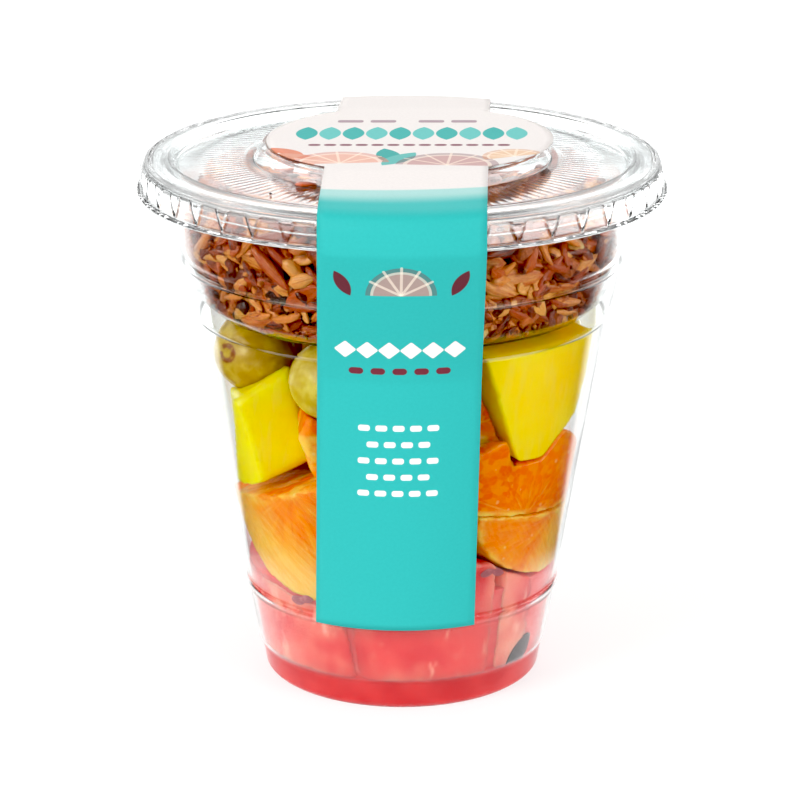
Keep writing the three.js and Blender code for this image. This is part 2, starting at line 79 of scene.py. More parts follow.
def fill(tree, socket, value):
    """Gives a socket a number, a hex colour, an output, or the live output of a node."""
    if isinstance(value, bpy.types.Node):
        value = next(output for output in value.outputs if output.enabled)
    if isinstance(value, bpy.types.NodeSocket):
        tree.links.new(value, socket)
    elif isinstance(value, str) and socket.type == "RGBA":
        socket.default_value = linear(value)
    else:
        socket.default_value = value


def add(tree, kind, inputs=None, **settings):
    """Adds a node, sets its properties, and fills its inputs, which are named or numbered."""
    node = tree.nodes.new(kind)
    for name, value in settings.items():
        setattr(node, name, value)
    for key, value in (inputs or {}).items():
        fill(tree, node.inputs[key], value)
    return node


print("mid grey gives back", round(linear("808080")[0], 3), "of the light")

# %% [markdown]
# A pattern is drawn with shares, numbers from 0 to 1 that say how much of something there is.
# A smooth Map Range turns a distance or a noise into a share, and shares are multiplied where
# all of them have to hold. A node's sockets are numbered from the top, and some share a name.
# A Map Range takes its value at 0, where the share is none at 1 and full at 2, and the most
# that it gives at 4. A Mix takes its share at 0, two numbers at 2 and 3, or colours at 6 and 7.

# %% Shares
def all_of(tree, *shares):
    """1 only where every share is 1."""
    whole = shares[0]
    for share in shares[1:]:
        whole = add(tree, "ShaderNodeMath", {0: whole, 1: share}, operation="MULTIPLY")
    return whole


def within(tree, *edges):
    """1 inside soft edges. Each edge is a value, where its share is 0, and where it is 1."""
    return all_of(tree, *(add(tree, "ShaderNodeMapRange", {0: value, 1: none, 2: full}, **SMOOTH)
                          for value, none, full in edges))


# %% [markdown]
# A finish is one material around the Principled shader. Each finish function below fills in
# what its own surface needs, and keeps the numbers that never change on the shader's sockets.

# %% Start a finish
def finish(name, **sockets):
    """A new material with one Principled shader, whose sockets are set by name."""
    material = bpy.data.materials.new(name)
    material.use_nodes = True
    tree = material.node_tree
    tree.nodes.clear()
    shader = add(tree, "ShaderNodeBsdfPrincipled")
    for label, value in sockets.items():
        fill(tree, shader.inputs[label.replace("_", " ").title().replace("Ior", "IOR")], value)
    add(tree, "ShaderNodeOutputMaterial", {"Surface": shader}, name="surface")
    return material, tree, shader


# %% [markdown]
# A turned shape, such as a cup, is a profile of radius and height swept round the vertical
# axis. The profile is drawn with sharp corners first, then each corner is rounded by a short
# curve, because moulded and thermoformed walls have no sharp edges.

# %% Rounded profiles
STRAIGHT = 1e-6
MOST_OF_A_SIDE = 0.45


def rounded(points, radius, steps=4):
    """The same line with each inner corner cut short by radius and bent round. A point on a
    straight stretch stays as it is."""
    points = [np.array(p, float) for p in points]
    line = [points[0]]
    for before, corner, after in zip(points, points[1:], points[2:]):
        back, on = before - corner, after - corner
        if abs(back[0] * on[1] - back[1] * on[0]) < STRAIGHT:
            line.append(corner)
            continue
        before_by, after_by = np.linalg.norm(back[:2]), np.linalg.norm(on[:2])
        cut = min(radius, MOST_OF_A_SIDE * before_by, MOST_OF_A_SIDE * after_by)
        start, end = corner + back / before_by * cut, corner + on / after_by * cut
        for step in range(steps + 1):
            t = step / steps
            line.append((1 - t) ** 2 * start + 2 * t * (1 - t) * corner + t * t * end)
    return line + [points[-1]]


print("a rounded corner has", len(rounded([(0, 0), (1, 0), (1, 1)], 0.5)) - 2, "points")

# %% [markdown]
# The sweep makes one ring of vertices for each point of the profile, and joins each ring to
# the next with four-sided faces. A point on the axis is one vertex, so its faces are triangles.

# %% Turned shapes
ON_AXIS = 1e-6


def mesh_object(name, vertices, faces):
    """A mesh object in the scene, made of points in metres."""
    mesh = bpy.data.meshes.new(name)
    mesh.from_pydata([tuple(v) for v in vertices], [], faces)
    mesh.update()
    piece = bpy.data.objects.new(name, mesh)
    bpy.context.scene.collection.objects.link(piece)
    return piece


def turned(name, profile, segments):
    """A closed shape of revolution. The profile, in millimetres, is closed or ends on the axis."""
    vertices, faces = [], []
    rings = []
    for radius, height in profile:
        if radius < ON_AXIS:
            rings.append([len(vertices)] * segments)
            vertices.append((0, 0, height * MM))
            continue
        rings.append([len(vertices) + s for s in range(segments)])
        for s in range(segments):
            turn = 2 * math.pi * s / segments
            x, y = radius * math.sin(turn), -radius * math.cos(turn)
            vertices.append((x * MM, y * MM, height * MM))
    pairs = list(zip(rings, rings[1:]))
    if profile[0][0] > ON_AXIS:
        pairs.append((rings[-1], rings[0]))
    for low, high in pairs:
        for s in range(segments):
            around = [low[s], low[(s + 1) % segments], high[(s + 1) % segments], high[s]]
            faces.append(list(dict.fromkeys(around)))
    piece = mesh_object(name, vertices, faces)
    shell = bmesh.new()
    shell.from_mesh(piece.data)
    bmesh.ops.recalc_face_normals(shell, faces=shell.faces)
    shell.to_mesh(piece.data)
    shell.free()
    piece.data.shade_smooth()
    return piece


# %% [markdown]
# Every finished piece is handed over the same way: it rides on the one body of this part,
# and the CAD node that it replaces is hidden.

# %% Hand a piece over
def hand_over(piece, slot, *nodes, material=None):
    """Gives the piece its material and ties it to the frame."""
    if material is not None:
        piece.data.materials.clear()
        piece.data.materials.append(material)
    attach(piece, "root")
    if nodes:
        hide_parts(*nodes)
    piece.data.calc_loop_triangles()
    print(f"{piece.name}: {len(piece.data.loop_triangles)} triangles")


# %% [markdown]
# Geometry Nodes grow what repeats. A tree declares named inputs, and a modifier's inputs are
# set by each socket's identifier. The evaluated result is copied to a plain mesh, and the
# modifier is taken away again, so that what is left is a mesh like any other.

# %% Run a geometry tree
def new_tree(name, **inputs):
    """A geometry tree with named inputs. Returns the tree and its input and output nodes."""
    tree = bpy.data.node_groups.new(name, "GeometryNodeTree")
    tree.interface.new_socket("Geometry", in_out="INPUT", socket_type="NodeSocketGeometry")
    for label, kind in inputs.items():
        tree.interface.new_socket(label.replace("_", " "), in_out="INPUT",
                                  socket_type="NodeSocket" + kind)
    tree.interface.new_socket("Geometry", in_out="OUTPUT", socket_type="NodeSocketGeometry")
    return tree, tree.nodes.new("NodeGroupInput").outputs, tree.nodes.new("NodeGroupOutput").inputs


def grow(name, host, tree, **values):
    """Runs a tree on a host object and returns what it makes as an object with a plain mesh."""
    modifier = host.modifiers.new(name, "NODES")
    modifier.node_group = tree
    sockets = {s.name: s.identifier for s in tree.interface.items_tree if s.in_out == "INPUT"}
    for label, value in values.items():
        modifier[sockets[label.replace("_", " ")]] = value
    view = bpy.context.evaluated_depsgraph_get()
    mesh = bpy.data.meshes.new_from_object(host.evaluated_get(view))
    host.modifiers.remove(modifier)
    mesh.name = name
    piece = bpy.data.objects.new(name, mesh)
    bpy.context.scene.collection.objects.link(piece)
    return piece


# %% [markdown]
# A mesh's points are read and written all at once as rows of numbers, which is much faster
# than one by one. An attribute keeps one value with each point.

# %% Points and attributes
def points_of(piece):
    """The vertices of a mesh as rows of X, Y, Z in metres."""
    flat = np.empty(len(piece.data.vertices) * 3, np.float32)
    piece.data.vertices.foreach_get("co", flat)
    return flat.reshape(-1, 3).astype(float)


def set_points(piece, points):
    """Moves the vertices of a mesh to the rows of X, Y, Z."""
    piece.data.vertices.foreach_set("co", points.astype(np.float32).ravel())
    piece.data.update()


def pull_inside(points, wall):
    """Moves points that lie farther from the axis than a wall inwards onto it."""
    radius = np.hypot(points[:, 0], points[:, 1])
    points[:, :2] *= np.minimum(1, wall / np.maximum(radius, 1e-9))[:, None]


def store(piece, name, values):
    """Keeps a number or a vector with each vertex, for its material to read."""
    values = np.asarray(values, np.float32)
    kind, key = ("FLOAT", "value") if values.ndim == 1 else ("FLOAT_VECTOR", "vector")
    layer = piece.data.attributes.new(name, kind, "POINT")
    layer.data.foreach_set(key, values.ravel())


# %% [markdown]
# ## Camera
#
# A product shot of a cup is taken from a little above with a long lens, so that its sides
# hardly converge. The lens and the place follow from how wide the cup's rings look, low and
# high.

# %% Camera
CAMERA_BACK = 0.5976
CAMERA_HEIGHT = 0.2457
CAMERA_ASIDE = -0.00042
CAMERA_TILT = 17.76
LENS_WIDTHS = 3187 / 800

camera_data = bpy.data.cameras.new("camera")
camera_data.sensor_width = 36
camera_data.lens = LENS_WIDTHS * camera_data.sensor_width
camera = bpy.data.objects.new("camera", camera_data)
camera.location = (CAMERA_ASIDE, -CAMERA_BACK, CAMERA_HEIGHT)
camera.rotation_euler = (math.radians(90 - CAMERA_TILT), 0, 0)
bpy.context.scene.collection.objects.link(camera)
bpy.context.scene.camera = camera
print("lens", round(camera_data.lens, 1), "mm")

# %% [markdown]
# ## Light
#
# Clear plastic shows only what it reflects, so the light is planned as a room. The room is
# white all round, which draws every ring and bead of the clear walls as a pale line. Two soft
# boxes light the fruit from the front left and right. Each light is a round patch with a soft
# edge, laid over the level of the room.

# %% Soft patches of light
ROOM = 0.7
PATCHES = [
    # direction, full within and none beyond this angle in degrees, level of light
    ((0, 0, 1), 28, 50, 0.5),
    ((0, 1, 0.1), 12, 20, 0.6),
    ((0, 1, 0.7), 15, 20, 2.6),
    ((-1, -0.75, 0.6), 11, 17, 10.0),
    ((1, -0.75, 0.6), 11, 17, 6.5),
]


def cosines(*degrees):
    """The cosine of each angle."""
    return [math.cos(math.radians(angle)) for angle in degrees]


def soft_patch(tree, towards, direction, full, none):
    """1 within the angle full of a direction, fading to 0 at the angle none, in degrees."""
    direction = Vector(direction).normalized()
    along = add(tree, "ShaderNodeVectorMath", {0: towards, 1: direction}, operation="DOT_PRODUCT")
    edge, core = cosines(none, full)
    return add(tree, "ShaderNodeMapRange", {0: along, 1: edge, 2: core}, **SMOOTH)


print(len(PATCHES), "patches of light in a room at", ROOM)

# %% [markdown]
# For what the plastic mirrors there is more: a bright sweep behind the cup that whitens the
# lid, which is seen at a low angle, a strip on each side for its raised middle, and a dark
# spot straight overhead, which gives the rounded rim its thin dark lines.

# %% The mirrored room
# Each span is the height (Z) or depth (Y) of a direction where the light is none, and is full.
SWEEP = 2.4
SWEEP_ABOVE = (0.18, 0.42)
SWEEP_BEHIND = (0.0, 0.5)
STRIP_FRONT = 6.5
STRIP_BACK = 3.0
STRIP_ABOVE = (0.14, 0.24)
STRIP_BELOW = (0.92, 0.8)
STRIP_BEHIND = (-0.65, -0.45)
STRIP_BEFORE = (0.55, 0.3)
STRIP_FADES = (-0.4, 0.4)
OVERHEAD_SPOTS = [
    # full within, none beyond this angle in degrees, level of light
    (22, 40, 0.5),
    (12, 19, 0.03),
]


def mirrored_room(tree, towards, level):
    """What the plastic mirrors, over the level that the room has without it."""
    axes = add(tree, "ShaderNodeSeparateXYZ", {0: towards}).outputs
    sweep = within(tree, (axes["Z"], *SWEEP_ABOVE), (axes["Y"], *SWEEP_BEHIND))
    level = add(tree, "ShaderNodeMix", {0: sweep, 2: level, 3: SWEEP}, **NUMBERS)
    strip = within(tree, (axes["Z"], *STRIP_ABOVE), (axes["Z"], *STRIP_BELOW),
                   (axes["Y"], *STRIP_BEHIND), (axes["Y"], *STRIP_BEFORE))
    front, back = STRIP_FADES
    glow = add(tree, "ShaderNodeMapRange",
               {0: axes["Y"], 1: front, 2: back, 3: STRIP_FRONT, 4: STRIP_BACK})
    level = add(tree, "ShaderNodeMix", {0: strip, 2: level, 3: glow}, **NUMBERS)
    for full, none, light in OVERHEAD_SPOTS:
        spot = soft_patch(tree, towards, (0, 0, 1), full, none)
        level = add(tree, "ShaderNodeMix", {0: spot, 2: level, 3: light}, **NUMBERS)
    return level


# %% [markdown]
# What is seen straight through the plastic is plain white, as against an overexposed
# background. A ray that has bounced off something matt always meets the lit room.

# %% Room light
PLAIN_WHITE = 1.0


def bounced(tree, kind):
    """1 on a ray that has left a surface by one kind of bounce, Diffuse or Glossy."""
    depth = add(tree, "ShaderNodeLightPath").outputs[kind + " Depth"]
    return add(tree, "ShaderNodeMath", {0: depth, 1: 0.5}, operation="GREATER_THAN")


world = bpy.data.worlds.new("room")
bpy.context.scene.world = world
world.use_nodes = True
room = world.node_tree
room.nodes.clear()
towards = add(room, "ShaderNodeTexCoord").outputs["Generated"]
level = ROOM
for direction, full, none, light in PATCHES:
    patch = soft_patch(room, towards, direction, full, none)
    level = add(room, "ShaderNodeMix", {0: patch, 2: level, 3: light}, **NUMBERS)

path = add(room, "ShaderNodeLightPath").outputs
onwards = add(room, "ShaderNodeMath", {0: path["Is Camera Ray"], 1: path["Is Transmission Ray"]},
              operation="MAXIMUM")
mirrored = bounced(room, "Glossy")
not_mirrored = add(room, "ShaderNodeMath", {0: 1.0, 1: mirrored}, operation="SUBTRACT")
not_matt = add(room, "ShaderNodeMath", {0: 1.0, 1: bounced(room, "Diffuse")}, operation="SUBTRACT")
in_mirror = all_of(room, mirrored, not_matt)
straight = all_of(room, onwards, not_mirrored, not_matt)
level = add(room, "ShaderNodeMix",
            {0: in_mirror, 2: level, 3: mirrored_room(room, towards, level)}, **NUMBERS)
level = add(room, "ShaderNodeMix", {0: straight, 2: level, 3: PLAIN_WHITE}, **NUMBERS)
background = add(room, "ShaderNodeBackground", {"Color": (1, 1, 1, 1), "Strength": level})
add(room, "ShaderNodeOutputWorld", {"Surface": background})
print("room:", len(room.nodes), "nodes")

# %% [markdown]
# Clear walls in a white room lay a faint veil over what is in them. A black point just above
# zero takes it off, as in developing a raw file. A ray through cup, tray and lid crosses many
# faces of plastic, so it may pass more of them than is usual.

# %% Exposure and light paths
BLACK_POINT = 0.03

scene = bpy.context.scene
scene.view_settings.view_transform = "Standard"
scene.view_settings.use_curve_mapping = True
scene.view_settings.curve_mapping.black_level = (BLACK_POINT,) * 3
scene.view_settings.curve_mapping.update()
scene.cycles.max_bounces = 24
scene.cycles.transmission_bounces = 20
scene.cycles.transparent_max_bounces = 32
scene.cycles.glossy_bounces = 8
scene.cycles.diffuse_bounces = 4
scene.cycles.use_denoising = True
print("a ray may bounce", scene.cycles.max_bounces, "times")

# %% [markdown]
# ## Floor
#
# The cup stands on a white sheet. It gives the soft shadow under the foot, and its bounce
# lights the underside. Seen as a reflection it is dark in a ring round the cup, open behind,
# as if black card lay there, which is how glass is kept clear in a studio. Farther out lies a
# bright board, which only the upright skirt of the lid reflects.

# %% Floor sizes, in metres and degrees
# Each span is where the card or board is none, and where it is full.
FLOOR_REACH = 3.0
FLOOR_BELOW = 0.0002
CARD_INNER = (0.062, 0.077)
CARD_OUTER = (0.27, 0.24)
CARD_OPENING = (50, 60)
BOARD_INNER = (0.3, 0.33)
BOARD_OUTER = (0.65, 0.6)
BOARD_FADES = (-0.3, 0.3)
BOARD_LEFT = 2.5
BOARD_RIGHT = 5.0
print("the black card reaches", 2 * CARD_OUTER[1], "m across")

# %% Floor finish
sheet_material, tree, shader = finish("matt_white_paper_sheet", base_color="a2a5a5",
                                      emission_color=(1, 1, 1, 1), emission_strength=0.7,
                                      roughness=0.9, specular_ior_level=0.0)
place = add(tree, "ShaderNodeTexCoord").outputs["Object"]
far = add(tree, "ShaderNodeVectorMath", {0: place}, operation="LENGTH")
heading = add(tree, "ShaderNodeVectorMath", {0: place}, operation="NORMALIZE")
heading = add(tree, "ShaderNodeSeparateXYZ", {0: heading}).outputs

ring = within(tree, (far, *CARD_INNER), (far, *CARD_OUTER),
              (heading["Y"], *cosines(*CARD_OPENING)))
beyond = within(tree, (far, *BOARD_INNER), (far, *BOARD_OUTER))
mirrored = bounced(tree, "Glossy")
card = add(tree, "ShaderNodeBsdfDiffuse", {"Color": "2c2c2c"})
left, right = BOARD_FADES
glow = add(tree, "ShaderNodeMapRange",
           {0: heading["X"], 1: left, 2: right, 3: BOARD_LEFT, 4: BOARD_RIGHT})
board = add(tree, "ShaderNodeEmission", {"Color": (1, 1, 1, 1), "Strength": glow})
laid = add(tree, "ShaderNodeMixShader", {0: all_of(tree, mirrored, ring), 1: shader, 2: card})
laid = add(tree, "ShaderNodeMixShader", {0: all_of(tree, mirrored, beyond), 1: laid, 2: board})
fill(tree, tree.nodes["surface"].inputs["Surface"], laid)
print("floor finish:", len(tree.nodes), "nodes")

# %% Floor
bpy.ops.mesh.primitive_circle_add(vertices=64, radius=FLOOR_REACH, fill_type="NGON",
                                  location=(0, 0, -FLOOR_BELOW))
floor = bpy.context.object
floor.name = "floor"
floor.data.materials.append(sheet_material)
print("floor:", FLOOR_REACH, "m from the middle to its edge")

# %% [markdown]
# ## Clear plastic
#
# Cup, tray and lid are PET, thermoformed from a clear sheet: the sheet is warmed, drawn over a
# mould by vacuum and cut out. It is as clear as glass and almost as glossy. Its index of
# refraction is about 1.57. The light that lamps send through glass is slow to find by chance,
# so the material lets shadow rays and matt bounces straight through, and keeps its gloss and
# its bending of light for everything that the eye sees. The cup's index is set lower than the
# lid's, because wet fruit lies against its wall and dulls the mirror on its inside.

# %% Clear PET
SHEET_SWELLS = 9


def clear_plastic(name, index, waviness):
    """Thermoformed sheet. waviness is the depth in millimetres of its faint unevenness."""
    material, tree, shader = finish(name, base_color="fbfdfd", roughness=0.03, ior=index,
                                    transmission_weight=1.0)
    place = add(tree, "ShaderNodeTexCoord").outputs["Object"]
    swells = add(tree, "ShaderNodeTexNoise",
                 {"Vector": place, "Scale": 1 / (SHEET_SWELLS * MM), "Detail": 1.0})
    bump = add(tree, "ShaderNodeBump",
               {"Height": swells, "Distance": waviness * MM, "Strength": 1.0})
    fill(tree, shader.inputs["Normal"], bump)
    path = add(tree, "ShaderNodeLightPath").outputs
    through = add(tree, "ShaderNodeBsdfTransparent", {"Color": "fbfbfb"})
    seen = add(tree, "ShaderNodeMixShader", {0: path["Is Diffuse Ray"], 1: shader, 2: through})
    lit = add(tree, "ShaderNodeMixShader", {0: path["Is Shadow Ray"], 1: seen, 2: through})
    fill(tree, tree.nodes["surface"].inputs["Surface"], lit)
    print(name, "has an index of", index)
    return material


CUP_PLASTIC = clear_plastic("clear_thermoformed_pet_cup", 1.45, 0.02)
LID_PLASTIC = clear_plastic("clear_thermoformed_pet_lid", 1.57, 0.03)

# %% [markdown]
# ## Cup
#
# The cup is one drawn cone with a rolled rim, two small steps that let stacked cups rest on
# each other, a bead low down that stops them jamming, and a floor raised inside the foot. It
# could be bent from a flat pattern, but it is a shape of revolution, so it is turned from one
# profile: up the outside, over the rim and down the inside.

# %% Cup sizes, in millimetres
CUP_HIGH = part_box("cup")[1]
RIM_RADIUS = CUP_HIGH.x / MM
RIM_TOP = CUP_HIGH.z / MM
RIM_BASE = RIM_TOP - 2.1
RIM_INNER_RADIUS = RIM_RADIUS - 3.1
CUP_WALL = 0.7
CONE_FOOT_RADIUS = 27.7
CONE_SLOPE = 0.165
FOOT_HEIGHT = 6
FOOT_STEP = 0.5
FLOOR_HEIGHT = 5
FLOOR_RADIUS = 21.5
BEAD_HEIGHT = 18.5
BEAD_RISE = 0.6
BEAD_RUN = 1.2
RING_HEIGHT = 73.8
RING_STEP = 0.8
SHOULDER_HEIGHT = 84.6
SHOULDER_STEP = 1.2
STEP_RUN = 0.5
ROUND_SEGMENTS = 192
print(f"the cup is {RIM_TOP:.1f} mm high and {2 * RIM_RADIUS:.1f} mm across its rim")

# %% [markdown]
# The outside and the inside of the wall are the same line, moved inwards by the thickness of
# the plastic, so one function gives both. The fruit and the juice ask it where the wall is.

# %% Cup wall
def cup_radius(height):
    """Radius of the cup's outside at a height, without the bead."""
    cone = CONE_FOOT_RADIUS + CONE_SLOPE * height
    if height < FOOT_HEIGHT:
        return cone - FOOT_STEP
    if height < RING_HEIGHT:
        return cone
    if height < SHOULDER_HEIGHT:
        return cone + RING_STEP
    return min(cone + RING_STEP + SHOULDER_STEP, RIM_INNER_RADIUS + CUP_WALL)


def wall_step(height, inset=0.0):
    """The two ends of a step in the wall."""
    return [(cup_radius(height + run) - inset, height + run) for run in (-STEP_RUN, STEP_RUN)]


def cup_inner_wall(inset=CUP_WALL):
    """The inside of the wall from the floor up to the rim."""
    bead = [(cup_radius(BEAD_HEIGHT + run) + rise - inset, BEAD_HEIGHT + run)
            for run, rise in ((-BEAD_RUN, 0), (0, BEAD_RISE), (BEAD_RUN, 0))]
    return [
        (cup_radius(1) - inset, 1.2),
        (cup_radius(FOOT_HEIGHT - STEP_RUN) - inset, FOOT_HEIGHT - STEP_RUN),
        (cup_radius(FOOT_HEIGHT + STEP_RUN) - inset, FOOT_HEIGHT + STEP_RUN),
        *bead,
        *wall_step(RING_HEIGHT, inset),
        *wall_step(SHOULDER_HEIGHT, inset),
        (RIM_INNER_RADIUS + CUP_WALL - inset, RIM_BASE),
    ]


def moat(into=0.0):
    """The raised floor from its middle down into the moat of the foot. into sinks it."""
    return [
        (0, FLOOR_HEIGHT + CUP_WALL - into),
        (FLOOR_RADIUS + 0.4, FLOOR_HEIGHT + CUP_WALL - into),
        (FLOOR_RADIUS + 3.1, CUP_WALL + 0.4),
        (FLOOR_RADIUS + 3.6, CUP_WALL - into),
        (cup_radius(1) - CUP_WALL - 0.6, CUP_WALL - into),
    ]


def inner_radius(height):
    """Radius of the inside of the cup's wall at any height, in millimetres."""
    wall = cup_inner_wall()
    return np.interp(height, [p[1] for p in wall], [p[0] for p in wall])


print(f"inside, the wall is {inner_radius(10):.1f} mm from the axis low down, "
      f"and {inner_radius(80):.1f} mm high up")

# %% Cup
LIP = 0.6


def cup_profile():
    """Up the outside from the middle of the floor, round the rim, and down the inside."""
    outside = [
        (0, FLOOR_HEIGHT),
        (FLOOR_RADIUS, FLOOR_HEIGHT),
        (FLOOR_RADIUS + 2.6, 0.8),
        (FLOOR_RADIUS + 3.3, 0),
        (cup_radius(0) - 0.8, 0),
        (cup_radius(0.8), 0.8),
        *cup_inner_wall(inset=0.0)[1:-1],
        (RIM_INNER_RADIUS + CUP_WALL, RIM_BASE - 0.4),
    ]
    rim = [
        (RIM_RADIUS - LIP, RIM_BASE - 0.5),
        (RIM_RADIUS, RIM_BASE + 0.1),
        (RIM_RADIUS, RIM_TOP - LIP),
        (RIM_RADIUS - LIP, RIM_TOP),
        (RIM_INNER_RADIUS + LIP, RIM_TOP),
        (RIM_INNER_RADIUS, RIM_TOP - LIP),
    ]
    inside = cup_inner_wall()[:-1][::-1]
    return rounded(outside + rim + inside + moat()[::-1], LIP)


cup = turned("cup_shell", cup_profile(), ROUND_SEGMENTS)
hand_over(cup, "clear_plastic", "cup", material=CUP_PLASTIC)

# %% [markdown]
# ## Tray
#
# The tray keeps the granola dry over the fruit. It is a thinner drawn dish, whose flange lies
# on the cup's rim under the lid. It is turned from its profile like the cup.

# %% Tray
TRAY_LOW, TRAY_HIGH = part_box("tray")
TRAY_WALL = 0.5
TRAY_FLOOR = TRAY_LOW.z / MM
TRAY_FLANGE_RADIUS = TRAY_HIGH.x / MM
TRAY_FLANGE_BASE = TRAY_HIGH.z / MM - TRAY_WALL
TRAY_FOOT_RADIUS = 39.8
TRAY_CORNER = 3
TRAY_SHOULDER_RADIUS = 42.1
TRAY_MOUTH_RADIUS = 45


def tray_wall(inset):
    """The tray's wall from its floor to its mouth, moved inwards and up by inset."""
    middle = (TRAY_FOOT_RADIUS + TRAY_SHOULDER_RADIUS) / 2
    return [
        (0, TRAY_FLOOR + inset),
        (TRAY_FOOT_RADIUS - TRAY_CORNER, TRAY_FLOOR + inset),
        (TRAY_FOOT_RADIUS - inset, TRAY_FLOOR + TRAY_CORNER),
        (middle - inset, SHOULDER_HEIGHT - STEP_RUN),
        (TRAY_SHOULDER_RADIUS - inset, SHOULDER_HEIGHT + 2 * STEP_RUN),
        (TRAY_MOUTH_RADIUS - inset, TRAY_FLANGE_BASE - 0.4),
    ]


def tray_radius(height):
    """Radius of the inside of the tray's wall at a height, in millimetres."""
    wall = tray_wall(TRAY_WALL)[1:]
    return np.interp(height, [p[1] for p in wall], [p[0] for p in wall])


def tray_profile():
    """Up the outside of the tray, round its flange, and down the inside."""
    flange = [
        (TRAY_MOUTH_RADIUS + 0.6, TRAY_FLANGE_BASE),
        (TRAY_FLANGE_RADIUS, TRAY_FLANGE_BASE),
        (TRAY_FLANGE_RADIUS, TRAY_FLANGE_BASE + TRAY_WALL),
        (TRAY_MOUTH_RADIUS, TRAY_FLANGE_BASE + TRAY_WALL),
    ]
    return rounded(tray_wall(0) + flange + tray_wall(TRAY_WALL)[::-1], 1.0)


tray = turned("tray_shell", tray_profile(), ROUND_SEGMENTS)
hand_over(tray, "clear_plastic", "tray", material=CUP_PLASTIC)

# %% [markdown]
# ## Lid
#
# The lid is drawn from the same sheet: a flat panel with a raised round middle, a band that
# snaps over the rim, and a skirt that ends in a small flange. Fine radial ribs stiffen the
# panel, and small pinched lugs round the skirt let it stretch over the rim. The relief follows
# a rule, so a tree of geometry nodes pushes it into a plain turned shell. It moves both faces
# of the wall alike, which is just what the mould does to the sheet.

# %% Lid sizes, in millimetres
LID_LOW, LID_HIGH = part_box("lid")
LID_WALL = 0.6
LID_RADIUS = LID_HIGH.x / MM
SKIRT_BASE = LID_LOW.z / MM
PLATEAU_TOP = LID_HIGH.z / MM
PLATEAU_RADIUS = 27.3
PLATEAU_FOOT_RADIUS = 28.5
PANEL_TOP = 103.4
PANEL_FALL = 0.76
BAND_TOP = 104.3
BAND_INNER_RADIUS = 44.4
BAND_OUTER_RADIUS = 48.2
SKIRT_RADIUS = 50
FLANGE_THICKNESS = 0.7
LUG_COUNT = 44
RIB_COUNT = 132
LID_SEGMENTS = LUG_COUNT * 24
print(f"the lid is {2 * LID_RADIUS:.1f} mm across and {PLATEAU_TOP - SKIRT_BASE:.1f} mm high")

# %% Lid shell
def between(start, end, parts):
    """Points strictly between two others, so that a face there is fine enough to push about."""
    return [tuple(np.array(start) + (np.array(end) - start) * k / parts) for k in range(1, parts)]


def lid_profile():
    """The lower face of the lid from the axis out to the skirt, and the upper face back."""
    inside = SKIRT_RADIUS - LID_WALL - 0.1
    skirt_top = BAND_TOP - 1.8
    ribs = np.linspace(30.4, 38.8, 9)

    def panel(radius):
        """Height of the sloping panel at a radius."""
        share = (radius - PLATEAU_FOOT_RADIUS) / (BAND_INNER_RADIUS - PLATEAU_FOOT_RADIUS)
        return PANEL_TOP - PANEL_FALL * share

    wall_heights = np.linspace(SKIRT_BASE + FLANGE_THICKNESS + 0.4, skirt_top - 0.3, 7)
    lower = [
        (0, PLATEAU_TOP - LID_WALL),
        (PLATEAU_RADIUS - 1, PLATEAU_TOP - LID_WALL),
        (PLATEAU_FOOT_RADIUS - 0.5, PANEL_TOP - LID_WALL),
        *[(r, panel(r) - LID_WALL) for r in ribs],
        (BAND_INNER_RADIUS - 0.9, panel(BAND_INNER_RADIUS) - LID_WALL),
        (BAND_INNER_RADIUS + 0.3, BAND_TOP - LID_WALL),
        (BAND_OUTER_RADIUS - 0.2, BAND_TOP - LID_WALL),
        (inside, skirt_top),
        *[(inside, h) for h in wall_heights[::-1]],
        (inside, SKIRT_BASE),
    ]
    upper = [
        (LID_RADIUS, SKIRT_BASE),
        (LID_RADIUS, SKIRT_BASE + FLANGE_THICKNESS),
        (SKIRT_RADIUS, SKIRT_BASE + FLANGE_THICKNESS),
        *[(SKIRT_RADIUS, h) for h in wall_heights],
        (SKIRT_RADIUS, skirt_top),
        (SKIRT_RADIUS - 0.6, BAND_TOP - 0.6),
        (BAND_OUTER_RADIUS, BAND_TOP),
        (BAND_INNER_RADIUS, BAND_TOP),
        (BAND_INNER_RADIUS - 1.2, panel(BAND_INNER_RADIUS - 1.2)),
        *[(r, panel(r)) for r in ribs[::-1]],
        (PLATEAU_FOOT_RADIUS, PANEL_TOP),
        (PLATEAU_RADIUS, PLATEAU_TOP - 0.6),
        (PLATEAU_RADIUS - 0.6, PLATEAU_TOP),
        (0, PLATEAU_TOP),
    ]
    return rounded(lower + upper, 0.35, steps=2)


lid_blank = turned("lid_blank", lid_profile(), LID_SEGMENTS)
print("lid blank:", len(lid_blank.data.polygons), "faces")

# %% [markdown]
# Ribs and lugs stand at even marks round the axis. The angle of a place gives its turn, and a
# saw of so many teeth gives its distance from the nearest mark. The orange's segments use both.

# %% Round the axis
def turn_of(tree, axes):
    """How far round the vertical axis a place lies, in turns from -0.5 to 0.5."""
    angle = add(tree, "ShaderNodeMath", {0: axes["X"], 1: axes["Y"]}, operation="ARCTAN2")
    return add(tree, "ShaderNodeMath", {0: angle, 1: 2 * math.pi}, operation="DIVIDE")


def saw(tree, turn, count):
    """Distance from the nearest of count marks round a turn, 0 on the mark and 1 half way."""
    marks = add(tree, "ShaderNodeMath", {0: turn, 1: float(count)}, operation="MULTIPLY")
    wrapped = add(tree, "ShaderNodeMath", {0: marks, 1: 0.5, 2: -0.5}, operation="WRAP")
    distance = add(tree, "ShaderNodeMath", {0: wrapped}, operation="ABSOLUTE")
    return add(tree, "ShaderNodeMath", {0: distance, 1: 2.0}, operation="MULTIPLY")


